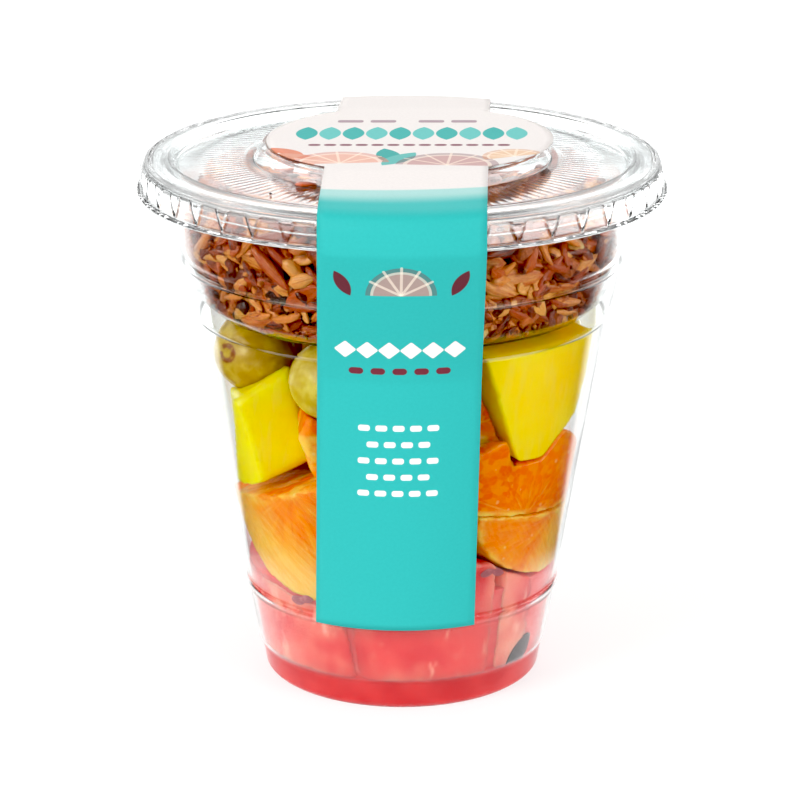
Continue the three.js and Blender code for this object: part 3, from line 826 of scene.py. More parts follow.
# %% [markdown]
# Each rib and lug is a mask of soft edges: near its mark on the saw, between an inner and an
# outer radius, and for a lug also between its foot and the band. The masks are multiplied by
# the depth of a rib and the rise of a lug, and the sum moves each point.

# %% Ribs and lugs
RIB_SIDES = (0.75, 0.1)
RIB_INNER_END = (30.6 * MM, 31.4 * MM)
RIB_OUTER_END = (38.6 * MM, 37.6 * MM)
LUG_FOOT = (SKIRT_BASE + FLANGE_THICKNESS) * MM
LUG_FLAT = 0.72
LUG_INSIDE = (48.9 * MM, 49.2 * MM)
LUG_OUTSIDE = (50.6 * MM, 50.2 * MM)
LUG_TOP = ((BAND_TOP - 1.7) * MM, (BAND_TOP - 2.3) * MM)


def relief_tree():
    """Ribs pressed into the panel and lugs pinched out of the skirt, wider towards the top."""
    tree, given, result = new_tree("ribs_and_lugs", Rib_depth="Float", Lug_rise="Float",
                                   Lug_width="Float", Plastic="Material")
    place = add(tree, "GeometryNodeInputPosition")
    axes = add(tree, "ShaderNodeSeparateXYZ", {0: place}).outputs
    turn = turn_of(tree, axes)
    flat = add(tree, "ShaderNodeVectorMath", {0: place, 1: (1, 1, 0)}, operation="MULTIPLY")
    radius = add(tree, "ShaderNodeVectorMath", {0: flat}, operation="LENGTH")
    outward = add(tree, "ShaderNodeVectorMath", {0: flat}, operation="NORMALIZE")

    rib = within(tree, (saw(tree, turn, RIB_COUNT), *RIB_SIDES), (radius, *RIB_INNER_END),
                 (radius, *RIB_OUTER_END))
    depth = add(tree, "ShaderNodeMath", {0: given["Rib depth"], 1: -1.0}, operation="MULTIPLY")
    down = add(tree, "ShaderNodeCombineXYZ", {"Z": all_of(tree, rib, depth)})

    up = add(tree, "ShaderNodeMapRange", {0: axes["Z"], 1: LUG_FOOT, 2: (BAND_TOP - 2.4) * MM})
    side = all_of(tree, up, given["Lug width"])
    flat_side = add(tree, "ShaderNodeMath", {0: side, 1: LUG_FLAT}, operation="MULTIPLY")
    lug = within(tree, (saw(tree, turn, LUG_COUNT), side, flat_side), (radius, *LUG_INSIDE),
                 (radius, *LUG_OUTSIDE), (axes["Z"], *LUG_TOP),
                 (axes["Z"], LUG_FOOT, LUG_FOOT + 0.5 * MM))
    rise = all_of(tree, lug, given["Lug rise"])
    out = add(tree, "ShaderNodeVectorMath", {0: outward, "Scale": rise}, operation="SCALE")

    shift = add(tree, "ShaderNodeVectorMath", {0: out, 1: down}, operation="ADD")
    moved = add(tree, "GeometryNodeSetPosition", {"Geometry": given["Geometry"], "Offset": shift})
    real = add(tree, "GeometryNodeRealizeInstances", {0: moved})
    done = add(tree, "GeometryNodeSetMaterial", {"Geometry": real, "Material": given["Plastic"]})
    fill(tree, result[0], done)
    return tree


# %% Lid
lid = grow("lid_shell", lid_blank, relief_tree(), Rib_depth=0.02 * MM, Lug_rise=0.28 * MM,
           Lug_width=0.5, Plastic=LID_PLASTIC)
bpy.data.objects.remove(lid_blank)
lid.data.shade_smooth()
hand_over(lid, "clear_plastic", "lid", material=LID_PLASTIC)

# %% [markdown]
# ## Paper strap
#
# The strap is one die-cut label: a strip with a round seal in its middle. The seal lies on the
# raised middle of the lid, and both ends run over the rim and are glued to the cup. It could
# be a cloth, but stiff paper only bends one way at a time, so it is drawn flat and then carried
# along its path. The flat drawing also gives the print its coordinates.

# %% Strap path
STRAP_WIDTH = 30.3
SEAL_RADIUS = 27.5
STRAP_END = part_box("strap")[0].z / MM
STRAP_SHIFT = 1.5
STRAP_SKEW = 0.031
STRAP_WALL_SKEW = 0.016
STRAP_END_LIFT = 0.9
STRAP_CLEAR = 0.45
STRAP_ROWS_APART = 1.5
PAPER = 0.22


def strap_path():
    """Points of (reach from the axis, height, how far the row bends round the cup)."""
    clear = STRAP_CLEAR
    seal, band, ring = PLATEAU_TOP + clear, BAND_TOP + clear, RING_HEIGHT + STEP_RUN
    cone_top = CONE_FOOT_RADIUS + CONE_SLOPE * (ring - 4) + clear
    cone_end = CONE_FOOT_RADIUS + CONE_SLOPE * STRAP_END + clear + STRAP_END_LIFT
    corners = [
        (0, seal, 0),
        (PLATEAU_RADIUS - 1, seal, 0),
        (BAND_OUTER_RADIUS, band + 0.05, 1),
        (SKIRT_RADIUS, BAND_TOP - 0.2, 1),
        (LID_RADIUS, BAND_TOP - 2.2, 1),
        (LID_RADIUS + clear, SKIRT_BASE + FLANGE_THICKNESS, 1),
        (LID_RADIUS + clear, SKIRT_BASE - 0.4, 1),
        (cup_radius(ring) + clear, ring, 1),
        (cone_top, ring - 4, 1),
        (cone_end, STRAP_END, 1),
    ]
    line = [corners[0]]
    for start, end in zip(corners, corners[1:]):
        parts = max(1, round(math.dist(start[:2], end[:2]) / STRAP_ROWS_APART))
        line += between(start, end, parts) + [end]
    return rounded(line, 0.7, steps=2)


PATH = np.array(strap_path())
ALONG = np.concatenate([[0], np.cumsum(np.linalg.norm(np.diff(PATH[:, :2], axis=0), axis=1))])
print("half a strap is", round(ALONG[-1], 1), "mm long")


def on_strap(across, along):
    """Where a point of the flat label lies on the cup. along is below 0 in front."""
    side = -1 if along < 0 else 1
    reach, height, bend = (np.interp(abs(along), ALONG, PATH[:, k]) for k in range(3))
    on_lid = min(reach, LID_RADIUS) if height > SKIRT_BASE else LID_RADIUS
    drop = max(SKIRT_BASE - height, 0)
    x = STRAP_SHIFT + side * (STRAP_SKEW * on_lid + STRAP_WALL_SKEW * drop) + across
    curved = math.sqrt(max(reach ** 2 - x ** 2, 0))
    y = side * ((1 - bend) * reach + bend * curved)
    return Vector((x, y, height)) * MM


# %% [markdown]
# The flat label is a grid of rows and columns with a UV map in its own millimetres. The seal
# is two wings beside the strip, as wide in each row as the circle asks. Solidify then gives
# the sheet the thickness of paper, half of it to each side.

# %% Strap sheet
SHEET_ACROSS = 80.0
SHEET_ALONG = 340.0
STRIP_COLUMNS = 20
WING_COLUMNS = 8
SEAL_ROWS = 24
A_HAIR = 1e-6


def label_rows():
    """Distances along the label, close together where it bends and where the seal is round."""
    rows = [*-ALONG[:0:-1], 0.0, *ALONG[1:]]
    reach = math.sqrt(SEAL_RADIUS ** 2 - (STRAP_WIDTH / 2) ** 2)
    rows = [r for r in rows if abs(r) > reach + 0.3]
    rows += [reach * math.sin(math.pi / 2 * k / SEAL_ROWS)
             for k in range(-SEAL_ROWS, SEAL_ROWS + 1)]
    return sorted(rows), reach


def strap_sheet():
    """The label as one sheet: a strip of columns, with wings on both sides where the seal is."""
    rows, reach = label_rows()
    half = STRAP_WIDTH / 2
    vertices, uvs, faces, at = [], [], [], {}
    for r, along in enumerate(rows):
        at_seal = abs(along) < reach - A_HAIR
        wing = math.sqrt(SEAL_RADIUS ** 2 - along ** 2) - half if at_seal else 0
        for c in range(-WING_COLUMNS, STRIP_COLUMNS + WING_COLUMNS + 1):
            outside = max(-c, c - STRIP_COLUMNS, 0)
            if outside and wing <= 0:
                continue
            across = half * (2 * c / STRIP_COLUMNS - 1)
            if outside:
                across = math.copysign(half + wing * outside / WING_COLUMNS, c)
            at[r, c] = len(vertices)
            vertices.append(on_strap(across, along))
            uvs.append((0.5 + across / SHEET_ACROSS, 0.5 + along / SHEET_ALONG))
    last = max(r for r, c in at)

    def corner(r, c):
        """The vertex at a row and column, or the strip's edge where there is no wing."""
        return at.get((r, c), at[r, min(max(c, 0), STRIP_COLUMNS)])

    for r in range(last):
        for c in range(-WING_COLUMNS, STRIP_COLUMNS + WING_COLUMNS):
            around = [corner(r, c), corner(r, c + 1), corner(r + 1, c + 1), corner(r + 1, c)]
            around = list(dict.fromkeys(around))
            if len(around) > 2:
                faces.append(around)
    piece = mesh_object("paper_strap", vertices, faces)
    layer = piece.data.uv_layers.new(name="label")
    for loop in piece.data.loops:
        layer.data[loop.index].uv = uvs[loop.vertex_index]
    return piece


strap = strap_sheet()

thicken = strap.modifiers.new("paper", "SOLIDIFY")
thicken.thickness = PAPER * MM
thicken.offset = 0
print("label:", len(strap.data.polygons), "faces on each side")

# %% [markdown]
# The print is drawn on the flat label by distance: a stamp is a rounded bar of any size, and
# a disc is a bar of no size with a large corner. Each stamp lays its ink over what is there.
# The motifs are plain fruit wheels, leaves, beads and bars in coral, teal, plum and apricot.

# %% Stamps
INK_EDGE = 0.09


def stamp(tree, place, centre, half, corner, turn=0.0):
    """Distance in millimetres to the edge of a rounded bar, below 0 inside it."""
    local = add(tree, "ShaderNodeVectorMath", {0: place, 1: (*centre, 0)}, operation="SUBTRACT")
    if turn:
        local = add(tree, "ShaderNodeVectorRotate",
                    {"Vector": local, "Angle": math.radians(-turn)}, rotation_type="Z_AXIS")
    folded = add(tree, "ShaderNodeVectorMath", {0: local}, operation="ABSOLUTE")
    over = add(tree, "ShaderNodeVectorMath", {0: folded, 1: (*half, 0)}, operation="SUBTRACT")
    over = add(tree, "ShaderNodeVectorMath", {0: over, 1: (0, 0, 0)}, operation="MAXIMUM")
    far = add(tree, "ShaderNodeVectorMath", {0: over}, operation="LENGTH")
    return add(tree, "ShaderNodeMath", {0: far, 1: corner}, operation="SUBTRACT")


def shared(tree, *distances):
    """Distance to what several shapes share: inside only where all of them are."""
    most = distances[0]
    for distance in distances[1:]:
        most = add(tree, "ShaderNodeMath", {0: most, 1: distance}, operation="MAXIMUM")
    return most


def inked(tree, under, distance, ink):
    """The colour under, printed over with an ink inside the shape."""
    share = add(tree, "ShaderNodeMapRange", {0: distance, 1: INK_EDGE, 2: -INK_EDGE}, **SMOOTH)
    return add(tree, "ShaderNodeMix", {0: share, 6: under, 7: ink}, **COLOURS)


# %% [markdown]
# A fruit wheel is half a disc: a disc and a large square stamp share it. Thin cream bars cut
# its flesh into wedges. A leaf is what two discs share.

# %% Wheels and leaves
CREAM = "fdeedd"
WHEEL_SPOKES = 5
WEDGE = 30
WEDGES_FROM = 195
WHEEL_RING = 0.86
WHEEL_FLESH = 0.78
SPOKE = 0.22


def wheel(tree, place, colour, centre, radius, rim, flesh, turn):
    """Half a fruit wheel: a rim, a pale ring and wedges of flesh."""
    x, y = centre
    lean = math.radians(turn)
    below = (x + radius * math.sin(lean), y - radius * math.cos(lean))
    half = stamp(tree, place, below, (3 * radius, radius), 0.0, turn)
    for share, ink in ((1, rim), (WHEEL_RING, CREAM), (WHEEL_FLESH, flesh)):
        disc = stamp(tree, place, centre, (0, 0), radius * share)
        colour = inked(tree, colour, shared(tree, disc, half), ink)
    for spoke in range(WHEEL_SPOKES):
        angle = turn + WEDGES_FROM + WEDGE * (spoke + 0.5)
        along = math.radians(angle)
        middle = (x + radius * 0.5 * math.cos(along), y + radius * 0.5 * math.sin(along))
        bar = stamp(tree, place, middle, (radius * 0.5, 0), SPOKE, angle)
        colour = inked(tree, colour, shared(tree, bar, half), CREAM)
    return colour


def leaf(tree, place, colour, centre, length, turn, ink):
    """A pointed leaf where two discs overlap."""
    x, y = centre
    across = math.radians(turn + 90)
    away = (length * 0.55 * math.cos(across), length * 0.55 * math.sin(across))
    discs = [stamp(tree, place, (x + s * away[0], y + s * away[1]), (0, 0), length * 0.74)
             for s in (-1, 1)]
    return inked(tree, colour, shared(tree, *discs), ink)


# %% [markdown]
# Each panel is a short list of motifs, with places in millimetres from the middle of the seal.
# Across is to the right, and along is below 0 towards the front.

# %% Print on the seal
SEAL_LEAVES = ("38a9a4", "62bdb8")
BEAD_PLUM = "855560"
BAR_GREY = "a8929a"
LOOSE_LEAVES = [
    # place, length, turn, ink
    ((-23.0, -11.5), 9, 140, "d98a70"),
    ((-21.5, -15.5), 11, 160, "d99c86"),
    ((-3.6, -15.0), 12, 100, "3aa29d"),
    ((-1.6, -17.5), 12, 60, "62b4af"),
]
SEAL_WHEELS = [
    # place, radius, rim, flesh, turn
    ((-12.5, -21.0), 9.2, "cf6a50", "d98a70", 186),
    ((7.5, -22.5), 9.6, "7d3444", "a85a68", 176),
    ((20.0, -15.5), 6.0, "d08a48", "d9a870", 205),
]


def seal_print(tree, place, colour):
    """The round seal: a row of upright leaves, a string of beads, and fruit wheels in front."""
    for k in range(10):
        spot = (-20.0 + 4.5 * k, 3.6)
        colour = leaf(tree, place, colour, spot, 11.0, 90, SEAL_LEAVES[k % 2])
    for k in range(13):
        bead = stamp(tree, place, (-18.0 + 3.0 * k, -6.2), (0.4, 0), 0.8)
        colour = inked(tree, colour, bead, BEAD_PLUM)
    for k in range(4):
        bar = stamp(tree, place, (-12.0 + 6.4 * k + 3.0 * (k > 1), 14.0), (1.9, 0.5), 0.6)
        colour = inked(tree, colour, bar, BAR_GREY)
    for spot, length, turn, ink in LOOSE_LEAVES:
        colour = leaf(tree, place, colour, spot, length, turn, ink)
    for spot, radius, rim, flesh, turn in SEAL_WHEELS:
        colour = wheel(tree, place, colour, spot, radius, rim, flesh, turn)
    return colour


print("the seal has", len(SEAL_WHEELS), "wheels and", len(LOOSE_LEAVES), "loose leaves")

# %% Print on the front and the back
BACK_TEAL = "57b9b4"


def front_print(tree, place, colour):
    """The front panel: a wheel between two leaves, diamonds over beads, and rows of dashes."""
    colour = wheel(tree, place, colour, (0.0, -66.0), 6.4, "71393f", "8f464d", 180)
    for side in (-1, 1):
        colour = leaf(tree, place, colour, (10.6 * side, -63.4), 6.4, 90 - 28 * side, "6d3a42")
    for k in range(6):
        diamond = stamp(tree, place, (-10.0 + 4.0 * k, -79.0), (1.1, 1.1), 0.35, 45)
        colour = inked(tree, colour, diamond, "fdeeea")
    for k in range(5):
        bead = stamp(tree, place, (-8.0 + 4.0 * k, -84.0), (0.6, 0), 0.75)
        colour = inked(tree, colour, bead, "7a3c46")
    for row in range(5):
        for column in range(5 - row % 2):
            spot = (-6.4 + 3.2 * column + 1.6 * (row % 2), -96.0 - 3.4 * row)
            dash = stamp(tree, place, spot, (0.6, 0.12), 0.48)
            colour = inked(tree, colour, dash, "f6f4f2")
    return colour


def back_print(tree, place, colour):
    """The back panel: one leaf over rows of short bars."""
    colour = leaf(tree, place, colour, (0.0, 66.0), 9, 60, BACK_TEAL)
    for row in range(6):
        for column in range(3):
            half = (2.2 - 0.4 * (column + row) % 1.1, 0)
            bar = stamp(tree, place, (-7.0 + 7.0 * column, 78.0 + 4.2 * row), half, 0.5)
            colour = inked(tree, colour, bar, BACK_TEAL)
    return colour


# %% [markdown]
# The label is coated paper with an offset print: matt, with a faint fibre and a soft sheen.
# Its front end is teal, with a paler edge across it that runs a little aslant.

# %% Printed paper
PAPER_COLOUR = "e8e2df"
EDGE_COLOUR = "a8d4d0"
END_COLOUR = "3db5b2"
EDGE_SLANT = 0.04
EDGE_SPAN = (36.6, 37.6)
END_SPAN = (39.0, 45.0)


def printed_paper():
    """Coated label paper, whose pattern follows the flat label in millimetres."""
    material, tree, shader = finish("printed_label_paper", roughness=0.55, ior=1.47,
                                    specular_ior_level=0.15)
    chart = add(tree, "ShaderNodeUVMap", uv_map="label")
    place = add(tree, "ShaderNodeVectorMath", {0: chart, 1: (0.5, 0.5, 0)}, operation="SUBTRACT")
    place = add(tree, "ShaderNodeVectorMath", {0: place, 1: (SHEET_ACROSS, SHEET_ALONG, 0)},
                operation="MULTIPLY")
    axes = add(tree, "ShaderNodeSeparateXYZ", {0: place}).outputs
    forwards = add(tree, "ShaderNodeMath", {0: axes["Y"], 1: -1.0}, operation="MULTIPLY")
    slant = add(tree, "ShaderNodeMath", {0: axes["X"], 1: EDGE_SLANT, 2: forwards},
                operation="MULTIPLY_ADD")
    colour = PAPER_COLOUR
    for (start, end), ink in ((EDGE_SPAN, EDGE_COLOUR), (END_SPAN, END_COLOUR)):
        share = add(tree, "ShaderNodeMapRange", {0: slant, 1: start, 2: end}, **SMOOTH)
        colour = add(tree, "ShaderNodeMix", {0: share, 6: colour, 7: ink}, **COLOURS)
    for panel in (seal_print, front_print, back_print):
        colour = panel(tree, place, colour)

    fibre = add(tree, "ShaderNodeTexNoise",
                {"Vector": place, "Scale": 1.6, "Detail": 4.0, "Roughness": 0.7})
    speck = add(tree, "ShaderNodeMapRange", {0: fibre, 1: 0.3, 2: 0.7, 3: 0.965, 4: 1.02})
    toned = add(tree, "ShaderNodeVectorMath", {0: colour, "Scale": speck}, operation="SCALE")
    fill(tree, shader.inputs["Base Color"], toned)
    grain = add(tree, "ShaderNodeBump", {"Height": fibre, "Distance": 0.02 * MM, "Strength": 0.6})
    fill(tree, shader.inputs["Normal"], grain)
    print("label print:", len(tree.nodes), "nodes")
    return material


strap.data.shade_smooth()
hand_over(strap, "printed_paper", "strap", material=printed_paper())

# %% [markdown]
# ## Granola
#
# The granola is rolled oats, nut slivers and seeds baked with honey until they stick together.
# A packed core fills the tray, and thousands of real pieces cover it. The core's near black is
# painted shade: it stands for the shadow deep in the gaps between the pieces. One blank is shaped
# for each kind, then a tree scatters it over the core: points on the surface, a copy on each,
# turned and tipped at random from a fixed seed. A piece that would pass through the tray's
# wall is moved inwards until it touches it.

# %% Lumps
def lumps_tree():
    """Pushes a surface in and out along its normals by noise."""
    tree, given, result = new_tree("lumps", Lump="Float", Depth="Float", Seed="Float")
    place = add(tree, "GeometryNodeInputPosition")
    scale = add(tree, "ShaderNodeMath", {0: 1.0, 1: given["Lump"]}, operation="DIVIDE")
    noise = add(tree, "ShaderNodeTexNoise",
                {"Vector": place, "W": given["Seed"], "Scale": scale, "Detail": 3.0}, **SEEDED)
    height = add(tree, "ShaderNodeMath", {0: noise, 1: 0.5}, operation="SUBTRACT")
    push = add(tree, "ShaderNodeMath", {0: height, 1: given["Depth"]}, operation="MULTIPLY")
    normal = add(tree, "GeometryNodeInputNormal")
    shift = add(tree, "ShaderNodeVectorMath", {0: normal, "Scale": push}, operation="SCALE")
    moved = add(tree, "GeometryNodeSetPosition", {"Geometry": given["Geometry"], "Offset": shift})
    fill(tree, result[0], moved)
    return tree


LUMPS = lumps_tree()
print("lumps take", [item.name for item in LUMPS.interface.items_tree if item.in_out == "INPUT"])

# %% [markdown]
# The core is turned like the cup, with points close enough together for the lumps to move.

# %% Granola core
HEAP_TOP = 93.2
HEAP_INSET = 4.4
HEAP_SHOULDER = 1.5


def heap_core():
    """The heap's packed inside: the tray's own shape, smaller by the pieces that cover it."""
    base = TRAY_FLOOR + TRAY_WALL + 0.3
    heights = np.linspace(TRAY_FLOOR + TRAY_CORNER, HEAP_TOP - HEAP_SHOULDER, 8)
    side = [(float(tray_radius(h)) - HEAP_INSET, h) for h in heights]
    edge = side[-1][0]
    top = [(r, HEAP_TOP) for r in np.linspace(edge - 5, 6, 9)]
    profile = [(0, base), (TRAY_FOOT_RADIUS - TRAY_CORNER - 2, base), *side,
               (edge - HEAP_SHOULDER, HEAP_TOP), *top, (0, HEAP_TOP)]
    return turned("granola_core", profile, 96)


blank = heap_core()
core = grow("granola_core", blank, LUMPS, Lump=9 * MM, Depth=3.2 * MM, Seed=3.0)
bpy.data.objects.remove(blank)
core.name = "granola_core"
print("heap core:", len(core.data.vertices), "points")

# %% [markdown]
# A loose piece keeps its shape, so it is moved as a whole. The soft core is pressed flat.

# %% Keep it in the tray
def keep_in_tray(piece, corners, gap=0.12):
    """Moves each body of so many corners inwards and up until it just touches the tray."""
    bodies = points_of(piece).reshape(-1, corners, 3)
    lift = (TRAY_FLOOR + TRAY_WALL + gap) * MM - bodies[:, :, 2].min(axis=1)
    bodies[:, :, 2] += np.maximum(lift, 0)[:, None]
    wall = (tray_radius(bodies[:, :, 2] / MM) - gap) * MM
    over = np.hypot(bodies[:, :, 0], bodies[:, :, 1]) - wall
    middle = bodies[:, :, :2].mean(axis=1)
    inwards = -middle / np.linalg.norm(middle, axis=1)[:, None]
    bodies[:, :, :2] += (np.maximum(over.max(axis=1), 0)[:, None] * inwards)[:, None]
    set_points(piece, bodies.reshape(-1, 3))


def press_in_tray(piece, gap):
    """Presses what would pass the tray's wall or floor flat against it."""
    points = points_of(piece)
    pull_inside(points, (tray_radius(points[:, 2] / MM) - gap) * MM)
    points[:, 2] = np.maximum(points[:, 2], (TRAY_FLOOR + TRAY_WALL + gap) * MM)
    set_points(piece, points)


press_in_tray(core, 0.8)

# %% [markdown]
# Each blank is a small ball, bent by a formula into an oat, a sliver, a kernel, an almond or a
# cluster. It has only a few dozen faces, because it is repeated hundreds of times. It keeps its
# round coordinates in the attribute own, so that streaks can follow the piece.

# %% One blank for each kind
def lump(name, size, segments, rings, shape):
    """A round blank of a size in millimetres, whose points the function shape moves."""
    bpy.ops.mesh.primitive_uv_sphere_add(segments=segments, ring_count=rings, calc_uvs=False)
    piece = bpy.context.object
    piece.name = name
    points = points_of(piece)
    store(piece, "own", points)
    set_points(piece, np.array(shape(*points.T)).T * np.array(size) / 2 * MM)
    piece.data.shade_smooth()
    return piece


def oat(x, y, z):
    """A rolled oat, baked until it curls: narrow at both ends, with a furrow along it."""
    furrow = 0.75 * np.exp(-(y / 0.22) ** 2) * (z > 0)
    return x, y * (1 - 0.4 * x * x), z * (1 - furrow) + 0.9 * x * x - 0.5 * y * y


def sliver(x, y, z):
    """A nut sliver: a bent finger, thicker at one end."""
    return x, y * (1 - 0.35 * x * x) + 0.6 * x * x, z * (1 - 0.3 * x) + 0.3 * x * x


def kernel(x, y, z):
    """A sunflower kernel: a drop that comes to a point."""
    return x, y * (1 - 0.5 * np.clip(x, -0.3, 1)), z * (1 - 0.4 * np.clip(x, -0.3, 1))


def almond(x, y, z):
    """An almond, or a flat seed: round at one end, drawn in at the other."""
    return x, y * (1 - 0.35 * np.clip(x, 0, 1) ** 2), z * (1 - 0.25 * x)


def nugget(x, y, z):
    """A cluster of baked crumbs, uneven all round."""
    wave = (1 + 0.16 * np.sin(5 * x + 2 * y) + 0.13 * np.sin(6 * y - 3 * z)
            + 0.12 * np.sin(7 * z + 4 * x))
    return x * wave, y * wave, z * wave


# %% [markdown]
# The scatter tree stands each copy on a random point and raises it by up to Lift. It lays the
# copy flat on the surface, with its length round the tray, and then turns it by a random share
# of Tilt and Spin. On top of the heap, where the surface looks up, a piece may face any way.

# %% Scatter tree
LIFT_SEED, TURN_SEED, SIZE_SEED, TONE_SEED = 11, 5, 7, 23
LOOKS_UP = (0.3, 0.8)


def scatter_tree():
    """Copies of one piece all over a surface, each with its own place, turn, size and tone."""
    tree, given, result = new_tree("scatter", Piece="Object", Density="Float", Seed="Int",
                                   Smallest="Float", Largest="Float", Tilt="Float", Spin="Float",
                                   Lift="Float", Finish="Material")
    spots = add(tree, "GeometryNodeDistributePointsOnFaces",
                {"Mesh": given["Geometry"], "Density": given["Density"], "Seed": given["Seed"]})
    normal = spots.outputs["Normal"]
    height = add(tree, "FunctionNodeRandomValue",
                 {2: 0.0, 3: given["Lift"], "Seed": LIFT_SEED}, **NUMBERS)
    raised = add(tree, "ShaderNodeVectorMath", {0: normal, "Scale": height}, operation="SCALE")
    points = add(tree, "GeometryNodeSetPosition",
                 {"Geometry": spots.outputs["Points"], "Offset": raised})

    place = add(tree, "GeometryNodeInputPosition")
    around = add(tree, "ShaderNodeVectorMath", {0: (0, 0, 1), 1: place},
                 operation="CROSS_PRODUCT")
    flat = add(tree, "FunctionNodeAlignRotationToVector", {"Vector": normal}, axis="Z")
    level = add(tree, "FunctionNodeAlignRotationToVector", {"Rotation": flat, "Vector": around},
                axis="X", pivot_axis="Z")
    upward = add(tree, "ShaderNodeSeparateXYZ", {0: normal}).outputs["Z"]
    on_top = add(tree, "ShaderNodeMapRange", {0: upward, 1: LOOKS_UP[0], 2: LOOKS_UP[1]}, **SMOOTH)
    spin = add(tree, "ShaderNodeMix", {0: on_top, 2: given["Spin"], 3: math.pi}, **NUMBERS)
    most = add(tree, "ShaderNodeCombineXYZ", {"X": given["Tilt"], "Y": given["Tilt"], "Z": spin})
    share = add(tree, "FunctionNodeRandomValue",
                {0: (-1, -1, -1), 1: (1, 1, 1), "Seed": TURN_SEED}, data_type="FLOAT_VECTOR")
    turn = add(tree, "ShaderNodeVectorMath", {0: share, 1: most}, operation="MULTIPLY")
    turn = add(tree, "FunctionNodeEulerToRotation", {0: turn})
    turned_by = add(tree, "FunctionNodeRotateRotation", {0: level, 1: turn}, rotation_space="LOCAL")

    size = add(tree, "FunctionNodeRandomValue",
               {2: given["Smallest"], 3: given["Largest"], "Seed": SIZE_SEED}, **NUMBERS)
    piece = add(tree, "GeometryNodeObjectInfo", {"Object": given["Piece"]}).outputs["Geometry"]
    copies = add(tree, "GeometryNodeInstanceOnPoints",
                 {"Points": points, "Instance": piece, "Rotation": turned_by, "Scale": size})
    tone = add(tree, "FunctionNodeRandomValue", {2: 0.0, 3: 1.0, "Seed": TONE_SEED}, **NUMBERS)
    toned = add(tree, "GeometryNodeStoreNamedAttribute",
                {"Geometry": copies, "Name": "tone", "Value": tone}, domain="INSTANCE", **NUMBERS)
    real = add(tree, "GeometryNodeRealizeInstances", {0: toned})
    done = add(tree, "GeometryNodeSetMaterial", {"Geometry": real, "Material": given["Finish"]})
    fill(tree, result[0], done)
    return tree


SCATTER = scatter_tree()
print("scatter tree:", len(SCATTER.nodes), "nodes")

# %% [markdown]
# Baked grain is brown in patches, and browner in streaks along each piece. A thin coat of
# honey gives it a soft gloss, and a little light sinks into it. Its own tone, from 0 to 1,
# makes one piece paler than the next.

# %% Toasted finishes
TOASTED_PATCH = 2.6
TOASTED_GRIT = 0.8
STREAKS_ALONG = (0.7, 5.0, 1.5)
TONES_APART = 40.0
TO_MIDDLE = (0.2, 0.47)
TO_LIGHT = (0.49, 0.76)


def toasted(name, dark, middle, light, glaze, streaks=0.0):
    """Baked grain: dark, middle and light brown. glaze and streaks are shares."""
    material, tree, shader = finish(name, roughness=0.42, ior=1.45, coat_weight=glaze,
                                    coat_roughness=0.16, subsurface_weight=0.15,
                                    subsurface_scale=1.0 * MM, subsurface_radius=(1.0, 0.5, 0.25))
    place = add(tree, "ShaderNodeTexCoord").outputs["Object"]
    tone = add(tree, "ShaderNodeAttribute", attribute_name="tone").outputs["Fac"]
    own = add(tree, "ShaderNodeAttribute", attribute_name="own").outputs["Vector"]
    own = add(tree, "ShaderNodeVectorMath", {0: own, 1: STREAKS_ALONG}, operation="MULTIPLY")
    own_seed = add(tree, "ShaderNodeMath", {0: tone, 1: TONES_APART}, operation="MULTIPLY")
    streak = add(tree, "ShaderNodeTexNoise",
                 {"Vector": own, "W": own_seed, "Scale": 1.0, "Detail": 2.0}, **SEEDED)
    patches = add(tree, "ShaderNodeTexNoise",
                  {"Vector": place, "Scale": 1 / (TOASTED_PATCH * MM), "Detail": 5.0,
                   "Roughness": 0.75})
    value = add(tree, "ShaderNodeMix", {0: streaks, 2: patches, 3: streak}, **NUMBERS)
    value = add(tree, "ShaderNodeMath", {0: value, 1: 1.5, 2: -0.25}, operation="MULTIPLY_ADD")
    value = add(tree, "ShaderNodeMix", {0: 0.5, 2: value, 3: tone}, **NUMBERS)
    colour = dark
    for (start, end), paler in ((TO_MIDDLE, middle), (TO_LIGHT, light)):
        share = add(tree, "ShaderNodeMapRange", {0: value, 1: start, 2: end}, **SMOOTH)
        colour = add(tree, "ShaderNodeMix", {0: share, 6: colour, 7: paler}, **COLOURS)
    fill(tree, shader.inputs["Base Color"], colour)
    grit = add(tree, "ShaderNodeTexNoise",
               {"Vector": place, "Scale": 1 / (TOASTED_GRIT * MM), "Detail": 3.0})
    relief = add(tree, "ShaderNodeMix", {0: streaks, 2: grit, 3: streak}, **NUMBERS)
    bump = add(tree, "ShaderNodeBump", {"Height": relief, "Distance": 0.6 * MM, "Strength": 0.9})
    fill(tree, shader.inputs["Normal"], bump)
    return material


OAT = toasted("honey_baked_oat", "571404", "cc5810", "ffb058", 0.6, 0.55)
SLIVER = toasted("toasted_nut_sliver", "4a1204", "bc4c12", "fa9c46", 0.6, 0.5)
CLUSTER = toasted("baked_oat_cluster", "2c0d06", "8c3410", "d4743a", 0.4)
DARK = toasted("dark_roasted_almond_skin", "260b05", "561b0a", "883a18", 0.4, 0.4)
NUT = toasted("golden_roasted_nut", "b8661a", "e49a38", "f6cc7c", 0.5)
CRUMB = toasted("baked_crumb", "561e0a", "b85620", "f0a058", 0.2)
# The core's near black is painted shade, the shadow deep in the gaps between the pieces. The burnt
# speck on the lid is a real dark crumb in the same colour.
GAP_SHADE_AND_BURNT = toasted("painted_gap_shade_and_burnt_crumb", "120402", "240a04", "421408", 0.1)
print("toasted finishes:", [look.name for look in (OAT, SLIVER, CLUSTER, DARK, NUT, CRUMB, GAP_SHADE_AND_BURNT)])

# %% [markdown]
# The kinds and how many of each lie on a square centimetre follow a real mix: mostly oats and
# slivers, some seeds and clusters, a few nuts, and crumbs everywhere.

